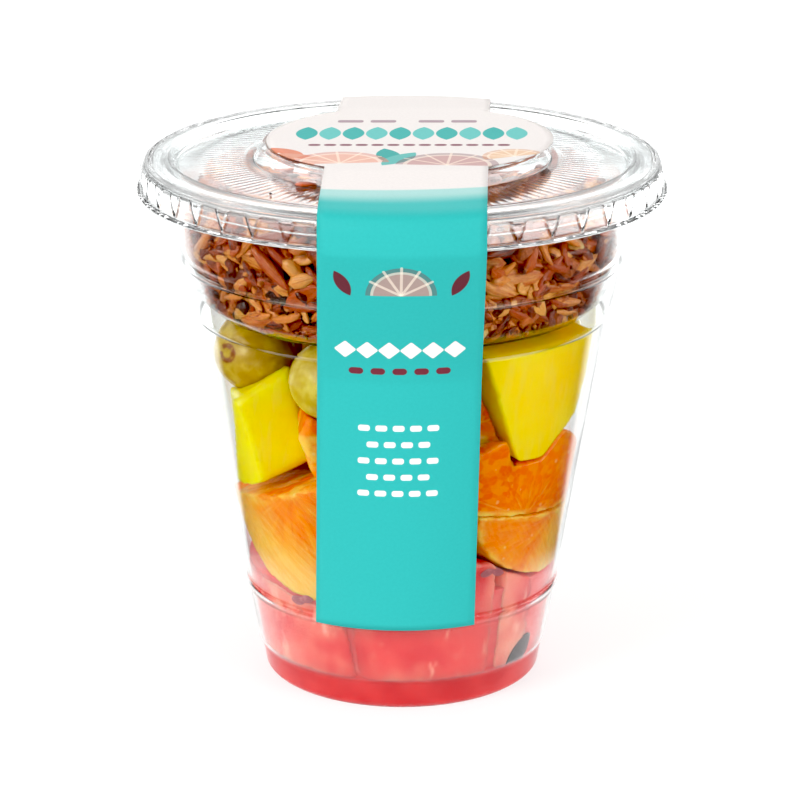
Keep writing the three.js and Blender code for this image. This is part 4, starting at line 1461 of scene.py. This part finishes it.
# %% Scatter the granola
KINDS = [
    # name, size, segments, rings, shape, finish,
    # per square centimetre, smallest, largest, tilt, spin, lift
    ("oat_flakes", (10.0, 4.6, 2.0), 12, 6, oat, OAT, 8.0, 0.6, 1.2, 0.45, 0.9, 4.2),
    ("nut_slivers", (10.4, 2.6, 2.0), 10, 6, sliver, SLIVER, 10.0, 0.6, 1.15, 0.45, 0.9, 4.2),
    ("sunflower_kernels", (7.0, 3.2, 2.2), 8, 6, kernel, OAT, 3.5, 0.7, 1.05, 0.5, 1.2, 4.0),
    ("oat_clusters", (6.4, 5.0, 4.0), 12, 6, nugget, CLUSTER, 3.0, 0.6, 1.2, 1.2, 3.1, 2.4),
    ("dark_almonds", (13.0, 7.0, 3.4), 14, 9, almond, DARK, 0.4, 0.6, 1.0, 0.3, 0.9, 2.6),
    ("golden_nuts", (7.5, 5.0, 3.6), 12, 8, nugget, NUT, 0.5, 0.5, 0.9, 0.6, 3.1, 3.4),
    ("oat_crumbs", (1.6, 1.2, 0.9), 6, 4, nugget, CRUMB, 18.0, 0.5, 1.3, 1.5, 3.1, 4.2),
]
PER_SQUARE_CM = 10000.0
FIRST_SEED = 41

for seed, kind in enumerate(KINDS, FIRST_SEED):
    name, size, segments, rings, shape, look, *amounts = kind
    density, smallest, largest, tilt, spin, lift = amounts
    piece_blank = lump(name + "_blank", size, segments, rings, shape)
    heap = grow(name, core, SCATTER, Piece=piece_blank, Density=density * PER_SQUARE_CM, Seed=seed,
                Smallest=smallest, Largest=largest, Tilt=tilt, Spin=spin, Lift=lift * MM,
                Finish=look)
    keep_in_tray(heap, len(piece_blank.data.vertices))
    bpy.data.objects.remove(piece_blank)
    heap.data.shade_smooth()
    hand_over(heap, "toasted_granola", material=look)
# The core wears the near-black painted shade of the gaps between the pieces.
hand_over(core, "toasted_granola", "granola", material=GAP_SHADE_AND_BURNT)
core.data.shade_smooth()

# %% [markdown]
# A cup filled by hand is never quite clean: a flake of oat lies on the lid at the foot of its
# raised middle, and a speck of burnt crumb farther out.

# %% Loose crumbs on the lid
def loose_crumb(name, size, azimuth, reach, height, shape, look):
    """One crumb on the lid's panel, at an angle from the front and a reach from the axis."""
    crumb = lump(name, size, 14, 8, shape)
    turn = math.radians(azimuth)
    middle = Vector((reach * math.sin(turn), -reach * math.cos(turn), height)) * MM
    lie = Matrix.Rotation(turn + math.radians(35), 4, "Z")
    crumb.data.transform(Matrix.Translation(middle) @ lie)
    store(crumb, "tone", np.full(len(crumb.data.vertices), 0.35))
    hand_over(crumb, "toasted_granola", material=look)


loose_crumb("loose_oat_flake", (4.2, 2.4, 0.8), -37, 29.6, PANEL_TOP + 0.4, kernel, OAT)
loose_crumb("loose_burnt_speck", (0.6, 0.5, 0.4), -40, 37.6, PANEL_TOP - 0.1, almond, GAP_SHADE_AND_BURNT)

# %% [markdown]
# ## Cut fruit
#
# The CAD gives every chunk as a faceted solid pressed against its neighbours. Real cut fruit
# has soft edges, damp grain on its cut faces, and a flat wet patch where it leans on the cup.
# Each chunk is a copy of its CAD solid, remeshed into small even faces and smoothed, then
# given its grain by the noise tree, and last pressed against the wall.

# %% Soften a chunk
WALL_FILM = 0.12
LEANS_WITHIN = 0.95


def softened(node, name, voxel, rounds):
    """A copy of a CAD solid with even small faces and soft edges."""
    mesh = NODES[node].data.copy()
    piece = bpy.data.objects.new(name + "_blank", mesh)
    bpy.context.scene.collection.objects.link(piece)
    solid = bmesh.new()
    solid.from_mesh(mesh)
    bmesh.ops.remove_doubles(solid, verts=solid.verts, dist=0.001 * MM)
    solid.to_mesh(mesh)
    solid.free()
    remesh = piece.modifiers.new("even", "REMESH")
    remesh.mode = "VOXEL"
    remesh.voxel_size = voxel * MM
    smooth = piece.modifiers.new("soft", "SMOOTH")
    smooth.factor = 0.5
    smooth.iterations = rounds
    return piece


def lean_on_wall(piece, film=WALL_FILM):
    """Flattens what nearly touches the cup into a wet patch just inside its wall."""
    points = points_of(piece)
    radius = np.hypot(points[:, 0], points[:, 1])
    wall = (inner_radius(points[:, 2] / MM) - film) * MM
    near = radius > wall - LEANS_WITHIN * MM
    points[near, :2] *= (wall / radius)[near, None]
    top = (TRAY_FLOOR - WALL_FILM) * MM
    points[:, 2] = np.minimum(points[:, 2], top)
    set_points(piece, points)


def chunk(node, name, voxel, rounds, lump_size, depth, seed):
    """One piece of fruit: its CAD solid softened, made uneven, and leant on the wall."""
    blank = softened(node, name, voxel, rounds)
    piece = grow(name, blank, LUMPS, Lump=lump_size * MM, Depth=depth * MM, Seed=seed)
    bpy.data.objects.remove(blank)
    lean_on_wall(piece)
    piece.data.shade_smooth()
    return piece


# %% [markdown]
# Where the fruit sits is repeated from the CAD for the pieces whose pattern follows their own
# axes: the azimuth from the front, the distance from the axis, the height, and the roll.

# %% A piece's own axes
def own_axes(azimuth, reach, height, roll=0.0, lean=9.0):
    """The matrix from a piece's own X, Y and Z (outwards) to the cup, in metres."""
    turn = math.radians(azimuth)
    middle = Vector((reach * math.sin(turn), -reach * math.cos(turn), height)) * MM
    upright = Matrix.Rotation(math.radians(90 + lean), 4, "X")
    rolled = Matrix.Rotation(math.radians(roll), 4, "Z")
    return Matrix.Translation(middle) @ Matrix.Rotation(turn, 4, "Z") @ upright @ rolled


def store_own(piece, matrix, scale):
    """Keeps each vertex's place along the piece's own axes, in units of scale millimetres."""
    points = points_of(piece)
    back = np.array(matrix.inverted())
    own = (points @ back[:3, :3].T + back[:3, 3]) / (np.array(scale) * MM)
    store(piece, "own", own)
    return own


# %% [markdown]
# ### Watermelon
#
# Ripe watermelon flesh is a mass of large wet cells. Up close it is coral red with paler
# streaks, and light sinks a few millimetres into it, which gives its glow. Each layer of
# streaks is noise whose lumps have a real size, laid over the last where it is strong.

# %% Watermelon flesh
MELON_LUMPS = 11
MELON_CELLS = 0.9
MELON_STREAKS = [
    # lumps in millimetres, detail, how flat, seed, share from and to, at most, colour
    (13, 2.0, 0.8, 4.0, 0.44, 0.7, 0.8, "fba288"),
    (3.2, 4.0, 0.4, 7.0, 0.54, 0.72, 0.65, "fdbca4"),
]


def watermelon_flesh():
    """Red flesh with pale streaks that stand upright, wet and softly lit from within."""
    material, tree, shader = finish("wet_cut_watermelon", roughness=0.22, ior=1.38,
                                    subsurface_weight=0.75, subsurface_scale=4.5 * MM,
                                    subsurface_radius=(1.0, 0.25, 0.2))
    place = add(tree, "ShaderNodeTexCoord").outputs["Object"]
    broad = add(tree, "ShaderNodeTexNoise",
                {"Vector": place, "Scale": 1 / (MELON_LUMPS * MM), "Detail": 2.0}, **SEEDED)
    share = add(tree, "ShaderNodeMapRange", {0: broad, 1: 0.35, 2: 0.65}, **SMOOTH)
    colour = add(tree, "ShaderNodeMix", {0: share, 6: "de262c", 7: "ea4642"}, **COLOURS)
    for size, detail, upright, seed, start, end, most, pale in MELON_STREAKS:
        drawn = add(tree, "ShaderNodeVectorMath", {0: place, 1: (1, 1, upright)},
                    operation="MULTIPLY")
        noise = add(tree, "ShaderNodeTexNoise",
                    {"Vector": drawn, "W": seed, "Scale": 1 / (size * MM), "Detail": detail},
                    **SEEDED)
        share = add(tree, "ShaderNodeMapRange", {0: noise, 1: start, 2: end, 4: most}, **SMOOTH)
        colour = add(tree, "ShaderNodeMix", {0: share, 6: colour, 7: pale}, **COLOURS)
    fill(tree, shader.inputs["Base Color"], colour)
    cells = add(tree, "ShaderNodeTexNoise",
                {"Vector": place, "Scale": 1 / (MELON_CELLS * MM), "Detail": 1.0}, **SEEDED)
    bump = add(tree, "ShaderNodeBump", {"Height": cells, "Distance": 0.25 * MM, "Strength": 0.5})
    fill(tree, shader.inputs["Normal"], bump)
    return material


WATERMELON = watermelon_flesh()
for k in range(1, 7):
    piece = chunk(f"watermelon_{k}", f"watermelon_chunk_{k}", 0.7, 8, 2.2, 0.7, 10.0 + k)
    hand_over(piece, "watermelon_flesh", f"watermelon_{k}", material=WATERMELON)

# %% [markdown]
# ### Orange
#
# An orange slice is a wheel of segments. Each is a skin, called a membrane, full of juice sacs
# that point to the middle. Where the knife runs along them the sacs show as long drops, and
# where it runs across them as small round grains. The colour follows the slice's own axes:
# sacs of uneven orange, thin pale lines between the segments, a few pale specks, and pith
# that is left on the outside as broad pale fibres. The sacs are the cells of a Voronoi
# pattern on polar coordinates.

# %% Sacs of an orange
SAC_TURNS = 9.0
SAC_LAYERS = 4.0
ALONG_SACS = 3.2
ACROSS_SACS = 13.0


def sacs_pattern(tree, axes, far, sacs_along):
    """The cells of the sacs, and how far each place is from the edge of its own cell."""
    angle = add(tree, "ShaderNodeMath", {0: axes["X"], 1: axes["Y"]}, operation="ARCTAN2")
    polar = add(tree, "ShaderNodeCombineXYZ",
                {"X": all_of(tree, angle, SAC_TURNS), "Y": all_of(tree, far, sacs_along),
                 "Z": all_of(tree, axes["Z"], SAC_LAYERS)})
    cells = add(tree, "ShaderNodeTexVoronoi", {"Vector": polar, "Scale": 1.0})
    edges = add(tree, "ShaderNodeTexVoronoi", {"Vector": polar, "Scale": 1.0},
                feature="DISTANCE_TO_EDGE")
    return cells, edges


def sacs_colour(tree, place, cells, edges):
    """Deep and light orange in broad clouds, paler sacs here and there, pale lines between."""
    broad = add(tree, "ShaderNodeTexNoise",
                {"Vector": place, "Scale": 1 / (9 * MM), "Detail": 2.0}, **SEEDED)
    share = add(tree, "ShaderNodeMapRange", {0: broad, 1: 0.3, 2: 0.7}, **SMOOTH)
    colour = add(tree, "ShaderNodeMix", {0: share, 6: "e85a00", 7: "f67c00"}, **COLOURS)
    own_tone = add(tree, "ShaderNodeSeparateColor", {0: cells.outputs["Color"]})
    share = add(tree, "ShaderNodeMapRange", {0: own_tone, 1: 0.3, 2: 1.0, 4: 0.6}, **SMOOTH)
    colour = add(tree, "ShaderNodeMix", {0: share, 6: colour, 7: "fa9a10"}, **COLOURS)
    share = add(tree, "ShaderNodeMapRange", {0: edges, 1: 0.1, 2: 0.0, 4: 0.18}, **SMOOTH)
    return add(tree, "ShaderNodeMix", {0: share, 6: colour, 7: "fbac30"}, **COLOURS)


# %% [markdown]
# The skin between two segments is thin and even, so its width is kept in millimetres: the
# distance in turns is multiplied by the distance from the middle.

# %% Membranes and specks
ORANGE_SEGMENTS = 10
SPECKS_APART = 2.6


def membranes_and_specks(tree, place, axes, far, colour):
    """Pale skin between the segments, under the rind and along the cut, and pale specks."""
    lines = saw(tree, turn_of(tree, axes), ORANGE_SEGMENTS)
    mark = all_of(tree, lines, far, 5.5)
    membrane = add(tree, "ShaderNodeMapRange", {0: mark, 1: 0.3, 2: 0.1, 4: 0.5}, **SMOOTH)
    rind = add(tree, "ShaderNodeMapRange", {0: far, 1: 0.92, 2: 0.99}, **SMOOTH)
    cut = add(tree, "ShaderNodeMapRange", {0: axes["Y"], 1: 0.1, 2: 0.03, 4: 1.4}, **SMOOTH)
    cover = add(tree, "ShaderNodeMath", {0: membrane, 1: rind}, operation="MAXIMUM")
    cover = add(tree, "ShaderNodeMath", {0: cover, 1: cut}, operation="MAXIMUM")
    ragged = add(tree, "ShaderNodeTexNoise",
                 {"Vector": place, "Scale": 1 / (4.0 * MM), "Detail": 3.0}, **SEEDED)
    uneven = add(tree, "ShaderNodeMapRange", {0: ragged, 1: 0.42, 2: 0.62}, **SMOOTH)
    colour = add(tree, "ShaderNodeMix",
                 {0: all_of(tree, cover, uneven, 0.7), 6: colour, 7: "fdc858"}, **COLOURS)
    specks = add(tree, "ShaderNodeTexVoronoi", {"Vector": place, "Scale": 1 / (SPECKS_APART * MM)})
    speck = add(tree, "ShaderNodeMapRange", {0: specks, 1: 0.2, 2: 0.1}, **SMOOTH)
    return add(tree, "ShaderNodeMix",
               {0: all_of(tree, speck, uneven, 0.8), 6: colour, 7: "fed688"}, **COLOURS)


# %% [markdown]
# Pith is the white under the peel. What the knife leaves of it lies over the sacs in strands.

# %% Pith
FIBRES_LEAN = 55


def pith_over(tree, own, colour):
    """Pale fibres over the flesh, as thick as the attribute pith says."""
    pith = add(tree, "ShaderNodeAttribute", attribute_name="pith").outputs["Fac"]
    leaning = add(tree, "ShaderNodeVectorRotate",
                  {"Vector": own, "Angle": math.radians(FIBRES_LEAN)}, rotation_type="Z_AXIS")
    drawn = add(tree, "ShaderNodeVectorMath", {0: leaning, 1: (0.3, 2.0, 1.0)},
                operation="MULTIPLY")
    fibres = add(tree, "ShaderNodeTexNoise",
                 {"Vector": drawn, "Scale": 1 / (90 * MM), "Detail": 3.0}, **SEEDED)
    share = add(tree, "ShaderNodeMapRange", {0: fibres, 1: 0.3, 2: 0.7}, **SMOOTH)
    pale = add(tree, "ShaderNodeMix", {0: share, 6: "fab442", 7: "fcc662"}, **COLOURS)
    strands = add(tree, "ShaderNodeMapRange", {0: fibres, 1: 0.25, 2: 0.6}, **SMOOTH)
    strands = add(tree, "ShaderNodeMix", {0: pith, 2: strands, 3: 1.0}, **NUMBERS)
    return add(tree, "ShaderNodeMix",
               {0: all_of(tree, pith, strands), 6: colour, 7: pale}, **COLOURS)


# %% Orange flesh
def orange_flesh(name, sacs_along):
    """sacs_along is how many sacs lie between the middle of a slice and its rim."""
    material, tree, shader = finish(name, roughness=0.24, ior=1.38, subsurface_weight=0.7,
                                    subsurface_scale=4.5 * MM, subsurface_radius=(1.0, 0.4, 0.05))
    place = add(tree, "ShaderNodeTexCoord").outputs["Object"]
    own = add(tree, "ShaderNodeAttribute", attribute_name="own").outputs["Vector"]
    axes = add(tree, "ShaderNodeSeparateXYZ", {0: own}).outputs
    flat = add(tree, "ShaderNodeVectorMath", {0: own, 1: (1, 1, 0)}, operation="MULTIPLY")
    far = add(tree, "ShaderNodeVectorMath", {0: flat}, operation="LENGTH")
    cells, edges = sacs_pattern(tree, axes, far, sacs_along)
    colour = sacs_colour(tree, place, cells, edges)
    colour = membranes_and_specks(tree, place, axes, far, colour)
    fill(tree, shader.inputs["Base Color"], pith_over(tree, own, colour))
    swell = add(tree, "ShaderNodeMath", {0: edges, 1: 0.35}, operation="MINIMUM")
    bump = add(tree, "ShaderNodeBump", {"Height": swell, "Distance": 0.4 * MM, "Strength": 0.5})
    fill(tree, shader.inputs["Normal"], bump)
    print(name + ":", len(tree.nodes), "nodes")
    return material


FLESH = {
    "along": orange_flesh("orange_segment_cut_along_its_sacs", ALONG_SACS),
    "across": orange_flesh("orange_segment_cut_across_its_sacs", ACROSS_SACS),
}

# %% [markdown]
# Each slice knows its own axes, how its sacs are cut, and on which side pith is left on it.

# %% Orange slices
ORANGES = [
    # azimuth, reach, height, roll, half width, half height, how the sacs are cut,
    # how much pith, from where on its axis, towards which angle
    (3, 23, 57, 0, 21, 17, "across", 0.0, 0.0, 0),
    (-38, 26.5, 46, 200, 21, 24, "along", 1.0, 0.25, 45),
    (44, 27, 39.8, -9, 21, 18, "across", 0.0, 0.0, 0),
    (62, 26.5, 38, 171, 20, 13, "along", 0.9, -0.15, 165),
    (114, 21, 31, 12, 20, 17, "across", 0.0, 0.0, 0),
    (178, 26, 36, -10, 21, 19, "along", 0.0, 0.0, 0),
    (-120, 20, 33, 12, 18, 17, "along", 0.4, -0.15, 45),
]
PITH_FADES_OVER = 0.4
PITH_TRACE = 0.25

for k, (azimuth, reach, height, roll, *halves, cut, pith, start, towards) in enumerate(ORANGES, 1):
    piece = chunk(f"orange_{k}", f"orange_slice_{k}", 0.6, 12, 2.0, 0.7, 20.0 + k)
    own = store_own(piece, own_axes(azimuth, reach, height, roll), (*halves, 10))
    lean = math.radians(towards)
    slant = own[:, 0] * math.cos(lean) + own[:, 1] * math.sin(lean)
    thick = np.clip((slant - start) / PITH_FADES_OVER, 0, 1)
    store(piece, "pith", pith * (PITH_TRACE + (1 - PITH_TRACE) * thick))
    hand_over(piece, "orange_flesh", f"orange_{k}", material=FLESH[cut])

# %% [markdown]
# ### Mango
#
# Mango is smooth and buttery, with faint fibres that run with the stone. Its cut faces are a
# clear yellow, a little deeper near the stone and paler where the knife passed near the skin.
# Each chunk mixes the deeper and the paler yellow by its own share. The first chunk's large
# share is partly painted light: it lifts that chunk out of the shade and orange bounce it sits in.

# %% Mango flesh
MANGO_LUMPS = 14
MANGO_FIBRES = 1.6
RIPE_YELLOWS = {6: "ffc200", 7: "ffd028"}
FRESH_YELLOWS = {6: "ffea00", 7: "ffee20"}


def mango_flesh():
    """Yellow flesh, from ripe to fresh by a share kept with each point. On a shaded chunk the fresh
    yellow is painted light.
    """
    material, tree, shader = finish("wet_cut_mango", roughness=0.25, ior=1.4,
                                    subsurface_weight=0.8, subsurface_scale=6.0 * MM,
                                    subsurface_radius=(1.0, 0.7, 0.1))
    place = add(tree, "ShaderNodeTexCoord").outputs["Object"]
    broad = add(tree, "ShaderNodeTexNoise",
                {"Vector": place, "Scale": 1 / (MANGO_LUMPS * MM), "Detail": 2.0}, **SEEDED)
    share = add(tree, "ShaderNodeMapRange", {0: broad, 1: 0.3, 2: 0.7}, **SMOOTH)
    ripe = add(tree, "ShaderNodeMix", {0: share, **RIPE_YELLOWS}, **COLOURS)
    fresh = add(tree, "ShaderNodeMix", {0: share, **FRESH_YELLOWS}, **COLOURS)
    freshness_and_painted_light = add(tree, "ShaderNodeAttribute", attribute_name="freshness_and_painted_light").outputs["Fac"]
    colour = add(tree, "ShaderNodeMix", {0: freshness_and_painted_light, 6: ripe, 7: fresh}, **COLOURS)
    drawn = add(tree, "ShaderNodeVectorMath", {0: place, 1: (1, 1, 0.12)}, operation="MULTIPLY")
    fibres = add(tree, "ShaderNodeTexNoise",
                 {"Vector": drawn, "Scale": 1 / (MANGO_FIBRES * MM), "Detail": 3.0}, **SEEDED)
    share = add(tree, "ShaderNodeMapRange", {0: fibres, 1: 0.45, 2: 0.75, 4: 0.18}, **SMOOTH)
    colour = add(tree, "ShaderNodeMix", {0: share, 6: colour, 7: "fcdc78"}, **COLOURS)
    fill(tree, shader.inputs["Base Color"], colour)
    bump = add(tree, "ShaderNodeBump", {"Height": fibres, "Distance": 0.12 * MM, "Strength": 0.4})
    fill(tree, shader.inputs["Normal"], bump)
    return material


MANGO = mango_flesh()
# How much fresh yellow each chunk has. The first chunk's 0.85 is painted light for its shaded
# place.
MANGO_FRESHNESS_AND_PAINTED_LIGHT = (0.85, 0.3, 0.5, 0.2, 0.6)
for k, freshness_and_painted_light in enumerate(MANGO_FRESHNESS_AND_PAINTED_LIGHT, 1):
    piece = chunk(f"mango_{k}", f"mango_chunk_{k}", 0.6, 7, 6.0, 0.6, 30.0 + k)
    store(piece, "freshness_and_painted_light", np.full(len(piece.data.vertices), freshness_and_painted_light))
    hand_over(piece, "ripe_mango", f"mango_{k}", material=MANGO)

# %% [markdown]
# ### Grapes
#
# A green grape is an egg of clear flesh in a tight skin. It lets light through to its veins,
# so it looks deeper olive at its rim and paler in the middle. A small brown ring marks where
# its stalk was. Its edge is made ragged by adding a little noise to the distance from it.

# %% Grape skin
GRAPE_VEINS = 3.0
GREENS = {6: "b89420", 7: "d6b844"}
YELLOWS = {6: "c2a82c", 7: "dccb5c"}
SCAR_PLACE = (0.62, 0.2, 0.76)
SCAR_OUTER = (0.36, 0.3)
SCAR_INNER = (0.17, 0.24)
SCAR_RAGGED = 0.16


def grape_skin():
    """Olive green to yellow by the attribute ripeness, with the ring of a stalk."""
    material, tree, shader = finish("green_grape_skin", roughness=0.2, ior=1.4,
                                    subsurface_weight=0.7, subsurface_scale=4.0 * MM,
                                    subsurface_radius=(0.9, 1.0, 0.3))
    place = add(tree, "ShaderNodeTexCoord").outputs["Object"]
    own = add(tree, "ShaderNodeAttribute", attribute_name="own").outputs["Vector"]
    ripeness = add(tree, "ShaderNodeAttribute", attribute_name="ripeness").outputs["Fac"]
    veins = add(tree, "ShaderNodeTexNoise",
                {"Vector": place, "Scale": 1 / (GRAPE_VEINS * MM), "Detail": 3.0}, **SEEDED)
    share = add(tree, "ShaderNodeMapRange", {0: veins, 1: 0.35, 2: 0.7}, **SMOOTH)
    green = add(tree, "ShaderNodeMix", {0: share, **GREENS}, **COLOURS)
    yellow = add(tree, "ShaderNodeMix", {0: share, **YELLOWS}, **COLOURS)
    colour = add(tree, "ShaderNodeMix", {0: ripeness, 6: green, 7: yellow}, **COLOURS)
    scar = add(tree, "ShaderNodeVectorMath", {0: own, 1: SCAR_PLACE}, operation="DISTANCE")
    ragged = add(tree, "ShaderNodeTexNoise",
                 {"Vector": place, "Scale": 1 / (1.1 * MM), "Detail": 3.0}, **SEEDED)
    worn = add(tree, "ShaderNodeMath", {0: ragged, 1: SCAR_RAGGED, 2: scar},
               operation="MULTIPLY_ADD")
    ring = within(tree, (worn, *SCAR_OUTER), (worn, *SCAR_INNER), (ragged, 0.36, 0.5))
    colour = add(tree, "ShaderNodeMix",
                 {0: all_of(tree, ring, 0.85), 6: colour, 7: "8a3a10"}, **COLOURS)
    fill(tree, shader.inputs["Base Color"], colour)
    bump = add(tree, "ShaderNodeBump", {"Height": veins, "Distance": 0.1 * MM, "Strength": 0.3})
    fill(tree, shader.inputs["Normal"], bump)
    return material


# %% [markdown]
# A grape is a ball stretched to its three half sizes and laid along its own axes. Where it
# would pass the cup's wall or the tray's floor it is pressed flat, as a soft grape is.

# %% Grapes
GRAPES = [
    # azimuth, reach, height, roll, half length, half height, half depth, ripeness
    (-82, 28.3, 65.9, 0, 10.5, 8.1, 8.6, 0.15),
    (-25, 29.2, 66.8, 0, 9, 7.9, 8.6, 0.9),
    (102, 28.2, 66.6, 8, 10.8, 7.7, 8, 0.0),
    (172, 28.6, 66.8, -6, 10, 7.8, 8.4, 0.15),
    (-128, 28.4, 66.9, 5, 11, 7.6, 8.3, 0.3),
    (40, 5, 66.8, 0, 10.2, 7.7, 8.4, 0.0),
]

GRAPE = grape_skin()
for k, (azimuth, reach, height, roll, *halves, ripeness) in enumerate(GRAPES, 1):
    bpy.ops.mesh.primitive_uv_sphere_add(segments=64, ring_count=40, calc_uvs=False)
    piece = bpy.context.object
    piece.name = f"green_grape_{k}"
    axes = own_axes(azimuth, reach, height, roll, lean=0)
    piece.data.transform(Matrix.Diagonal((*(h * MM for h in halves), 1)))
    piece.data.transform(axes)
    points = points_of(piece)
    pull_inside(points, (inner_radius(points[:, 2] / MM) - WALL_FILM) * MM)
    points[:, 2] = np.minimum(points[:, 2], (TRAY_FLOOR - WALL_FILM) * MM)
    set_points(piece, points)
    store_own(piece, axes, halves)
    store(piece, "ripeness", np.full(len(points), ripeness))
    piece.data.shade_smooth()
    hand_over(piece, "green_grape", f"grape_{k}", material=GRAPE)

# %% [markdown]
# ### Seeds
#
# Ripe watermelon seeds are flat drops, black with a soft violet-grey bloom behind wet plastic.
# Unripe ones are small and brownish pink. A few lie against the wall, where the knife laid
# them bare. Each is a real drop of a few faces, set a little into the flesh.

# %% Where the seeds lie
RIPE_SEEDS = [
    # azimuth, height, turn about its outward axis, length
    (53.0, 7.9, 48, 9.0),
    (128, 16, 15, 9.0),
    (-140, 22, 80, 8.5),
    (172, 12, 40, 9.0),
]
PALE_SEEDS = [
    (-40.7, 21.2, 5, 3.4),
    (-36.5, 22.0, 10, 3.0),
    (30.8, 28.4, 12, 3.0),
    (35.3, 28.0, -20, 2.8),
]
SEED_WIDTH = 0.56
SEED_THICKNESS = 2.2
SEED_SINK = 0.9
SEED_FILM = 0.04
SEED_MOTTLE = 1.5
print(len(RIPE_SEEDS), "ripe seeds and", len(PALE_SEEDS), "pale ones")

# %% [markdown]
# A seed coat is waxy and a little mottled.

# %% Seed coats
def seed_coat(name, dark, light):
    """A waxy seed coat, mottled, under the haze of a little juice."""
    material, tree, shader = finish(name, roughness=0.3, ior=1.45)
    place = add(tree, "ShaderNodeTexCoord").outputs["Object"]
    mottle = add(tree, "ShaderNodeTexNoise",
                 {"Vector": place, "Scale": 1 / (SEED_MOTTLE * MM), "Detail": 3.0}, **SEEDED)
    share = add(tree, "ShaderNodeMapRange", {0: mottle, 1: 0.4, 2: 0.65}, **SMOOTH)
    colour = add(tree, "ShaderNodeMix", {0: share, 6: dark, 7: light}, **COLOURS)
    fill(tree, shader.inputs["Base Color"], colour)
    return material


# %% Watermelon seeds
def seeds(name, places):
    """One piece of all the seeds at these places, each pressed just inside the cup's wall."""
    pips = []
    for azimuth, height, turn, length in places:
        pip = lump("pip", (length, length * SEED_WIDTH, SEED_THICKNESS), 16, 10, almond)
        reach = float(inner_radius(height)) - SEED_SINK
        pip.data.transform(Matrix.Rotation(math.radians(turn), 4, "Z"))
        pip.data.transform(own_axes(azimuth, reach, height))
        pips.append(pip)
    bpy.ops.object.select_all(action="DESELECT")
    for pip in pips:
        pip.select_set(True)
    bpy.context.view_layer.objects.active = pips[0]
    bpy.ops.object.join()
    pips[0].name = name
    lean_on_wall(pips[0], SEED_FILM)
    return pips[0]


ripe = seed_coat("ripe_watermelon_seed", "1c1418", "44343c")
pale = seed_coat("unripe_watermelon_seed", "9c4850", "bc6c70")
hand_over(seeds("ripe_watermelon_seeds", RIPE_SEEDS), "watermelon_flesh", material=ripe)
hand_over(seeds("pale_watermelon_seeds", PALE_SEEDS), "watermelon_flesh", material=pale)

# %% [markdown]
# ### Juice
#
# Juice gathers round the raised floor, in the moat of the foot, and creeps up between the
# watermelon chunks. Wet fruit has no air between itself and the wall, so in the foot the juice
# body reaches a hair into the plastic. It is cloudy with pulp: light sinks in and comes back red.

# %% Juice
JUICE_TOP = 6.2
JUICE_PALER_OVER = 2.5
JUICE_PULP = 6
BETWEEN_CHUNKS = 0.35
BETWEEN_TOP = 24.0
INTO_WALL = 0.05


def juice_profile():
    """The moat up to its level, then the gaps between the chunks, closed on the axis."""
    outer = [(r + INTO_WALL, z) for r, z in cup_inner_wall() if z < JUICE_TOP]
    top = float(inner_radius(JUICE_TOP)) + INTO_WALL
    gaps = [(float(inner_radius(z)) - BETWEEN_CHUNKS, z) for z in (JUICE_TOP + 0.6, BETWEEN_TOP)]
    line = [*moat(INTO_WALL), *outer, (top, JUICE_TOP), *gaps, (0, BETWEEN_TOP)]
    return rounded(line, 0.4)


def red_juice():
    """Deep red in the moat, paler above it, where the juice is a thin layer on the flesh."""
    material, tree, shader = finish("cloudy_watermelon_juice", roughness=0.12, ior=1.35,
                                    subsurface_weight=0.8, subsurface_scale=4.0 * MM,
                                    subsurface_radius=(1.0, 0.2, 0.15))
    place = add(tree, "ShaderNodeTexCoord").outputs["Object"]
    pulp = add(tree, "ShaderNodeTexNoise",
               {"Vector": place, "Scale": 1 / (JUICE_PULP * MM), "Detail": 3.0}, **SEEDED)
    cloudy = add(tree, "ShaderNodeMapRange", {0: pulp, 1: 0.35, 2: 0.7}, **SMOOTH)
    pool = add(tree, "ShaderNodeMix", {0: cloudy, 6: "c81e24", 7: "d83838"}, **COLOURS)
    pressed = add(tree, "ShaderNodeMix", {0: cloudy, 6: "e84444", 7: "f46c66"}, **COLOURS)
    height = add(tree, "ShaderNodeSeparateXYZ", {0: place}).outputs["Z"]
    share = add(tree, "ShaderNodeMapRange",
                {0: height, 1: JUICE_TOP * MM, 2: (JUICE_TOP + JUICE_PALER_OVER) * MM}, **SMOOTH)
    colour = add(tree, "ShaderNodeMix", {0: share, 6: pool, 7: pressed}, **COLOURS)
    fill(tree, shader.inputs["Base Color"], colour)
    return material


juice = turned("watermelon_juice", juice_profile(), 128)
hand_over(juice, "watermelon_flesh", material=red_juice())
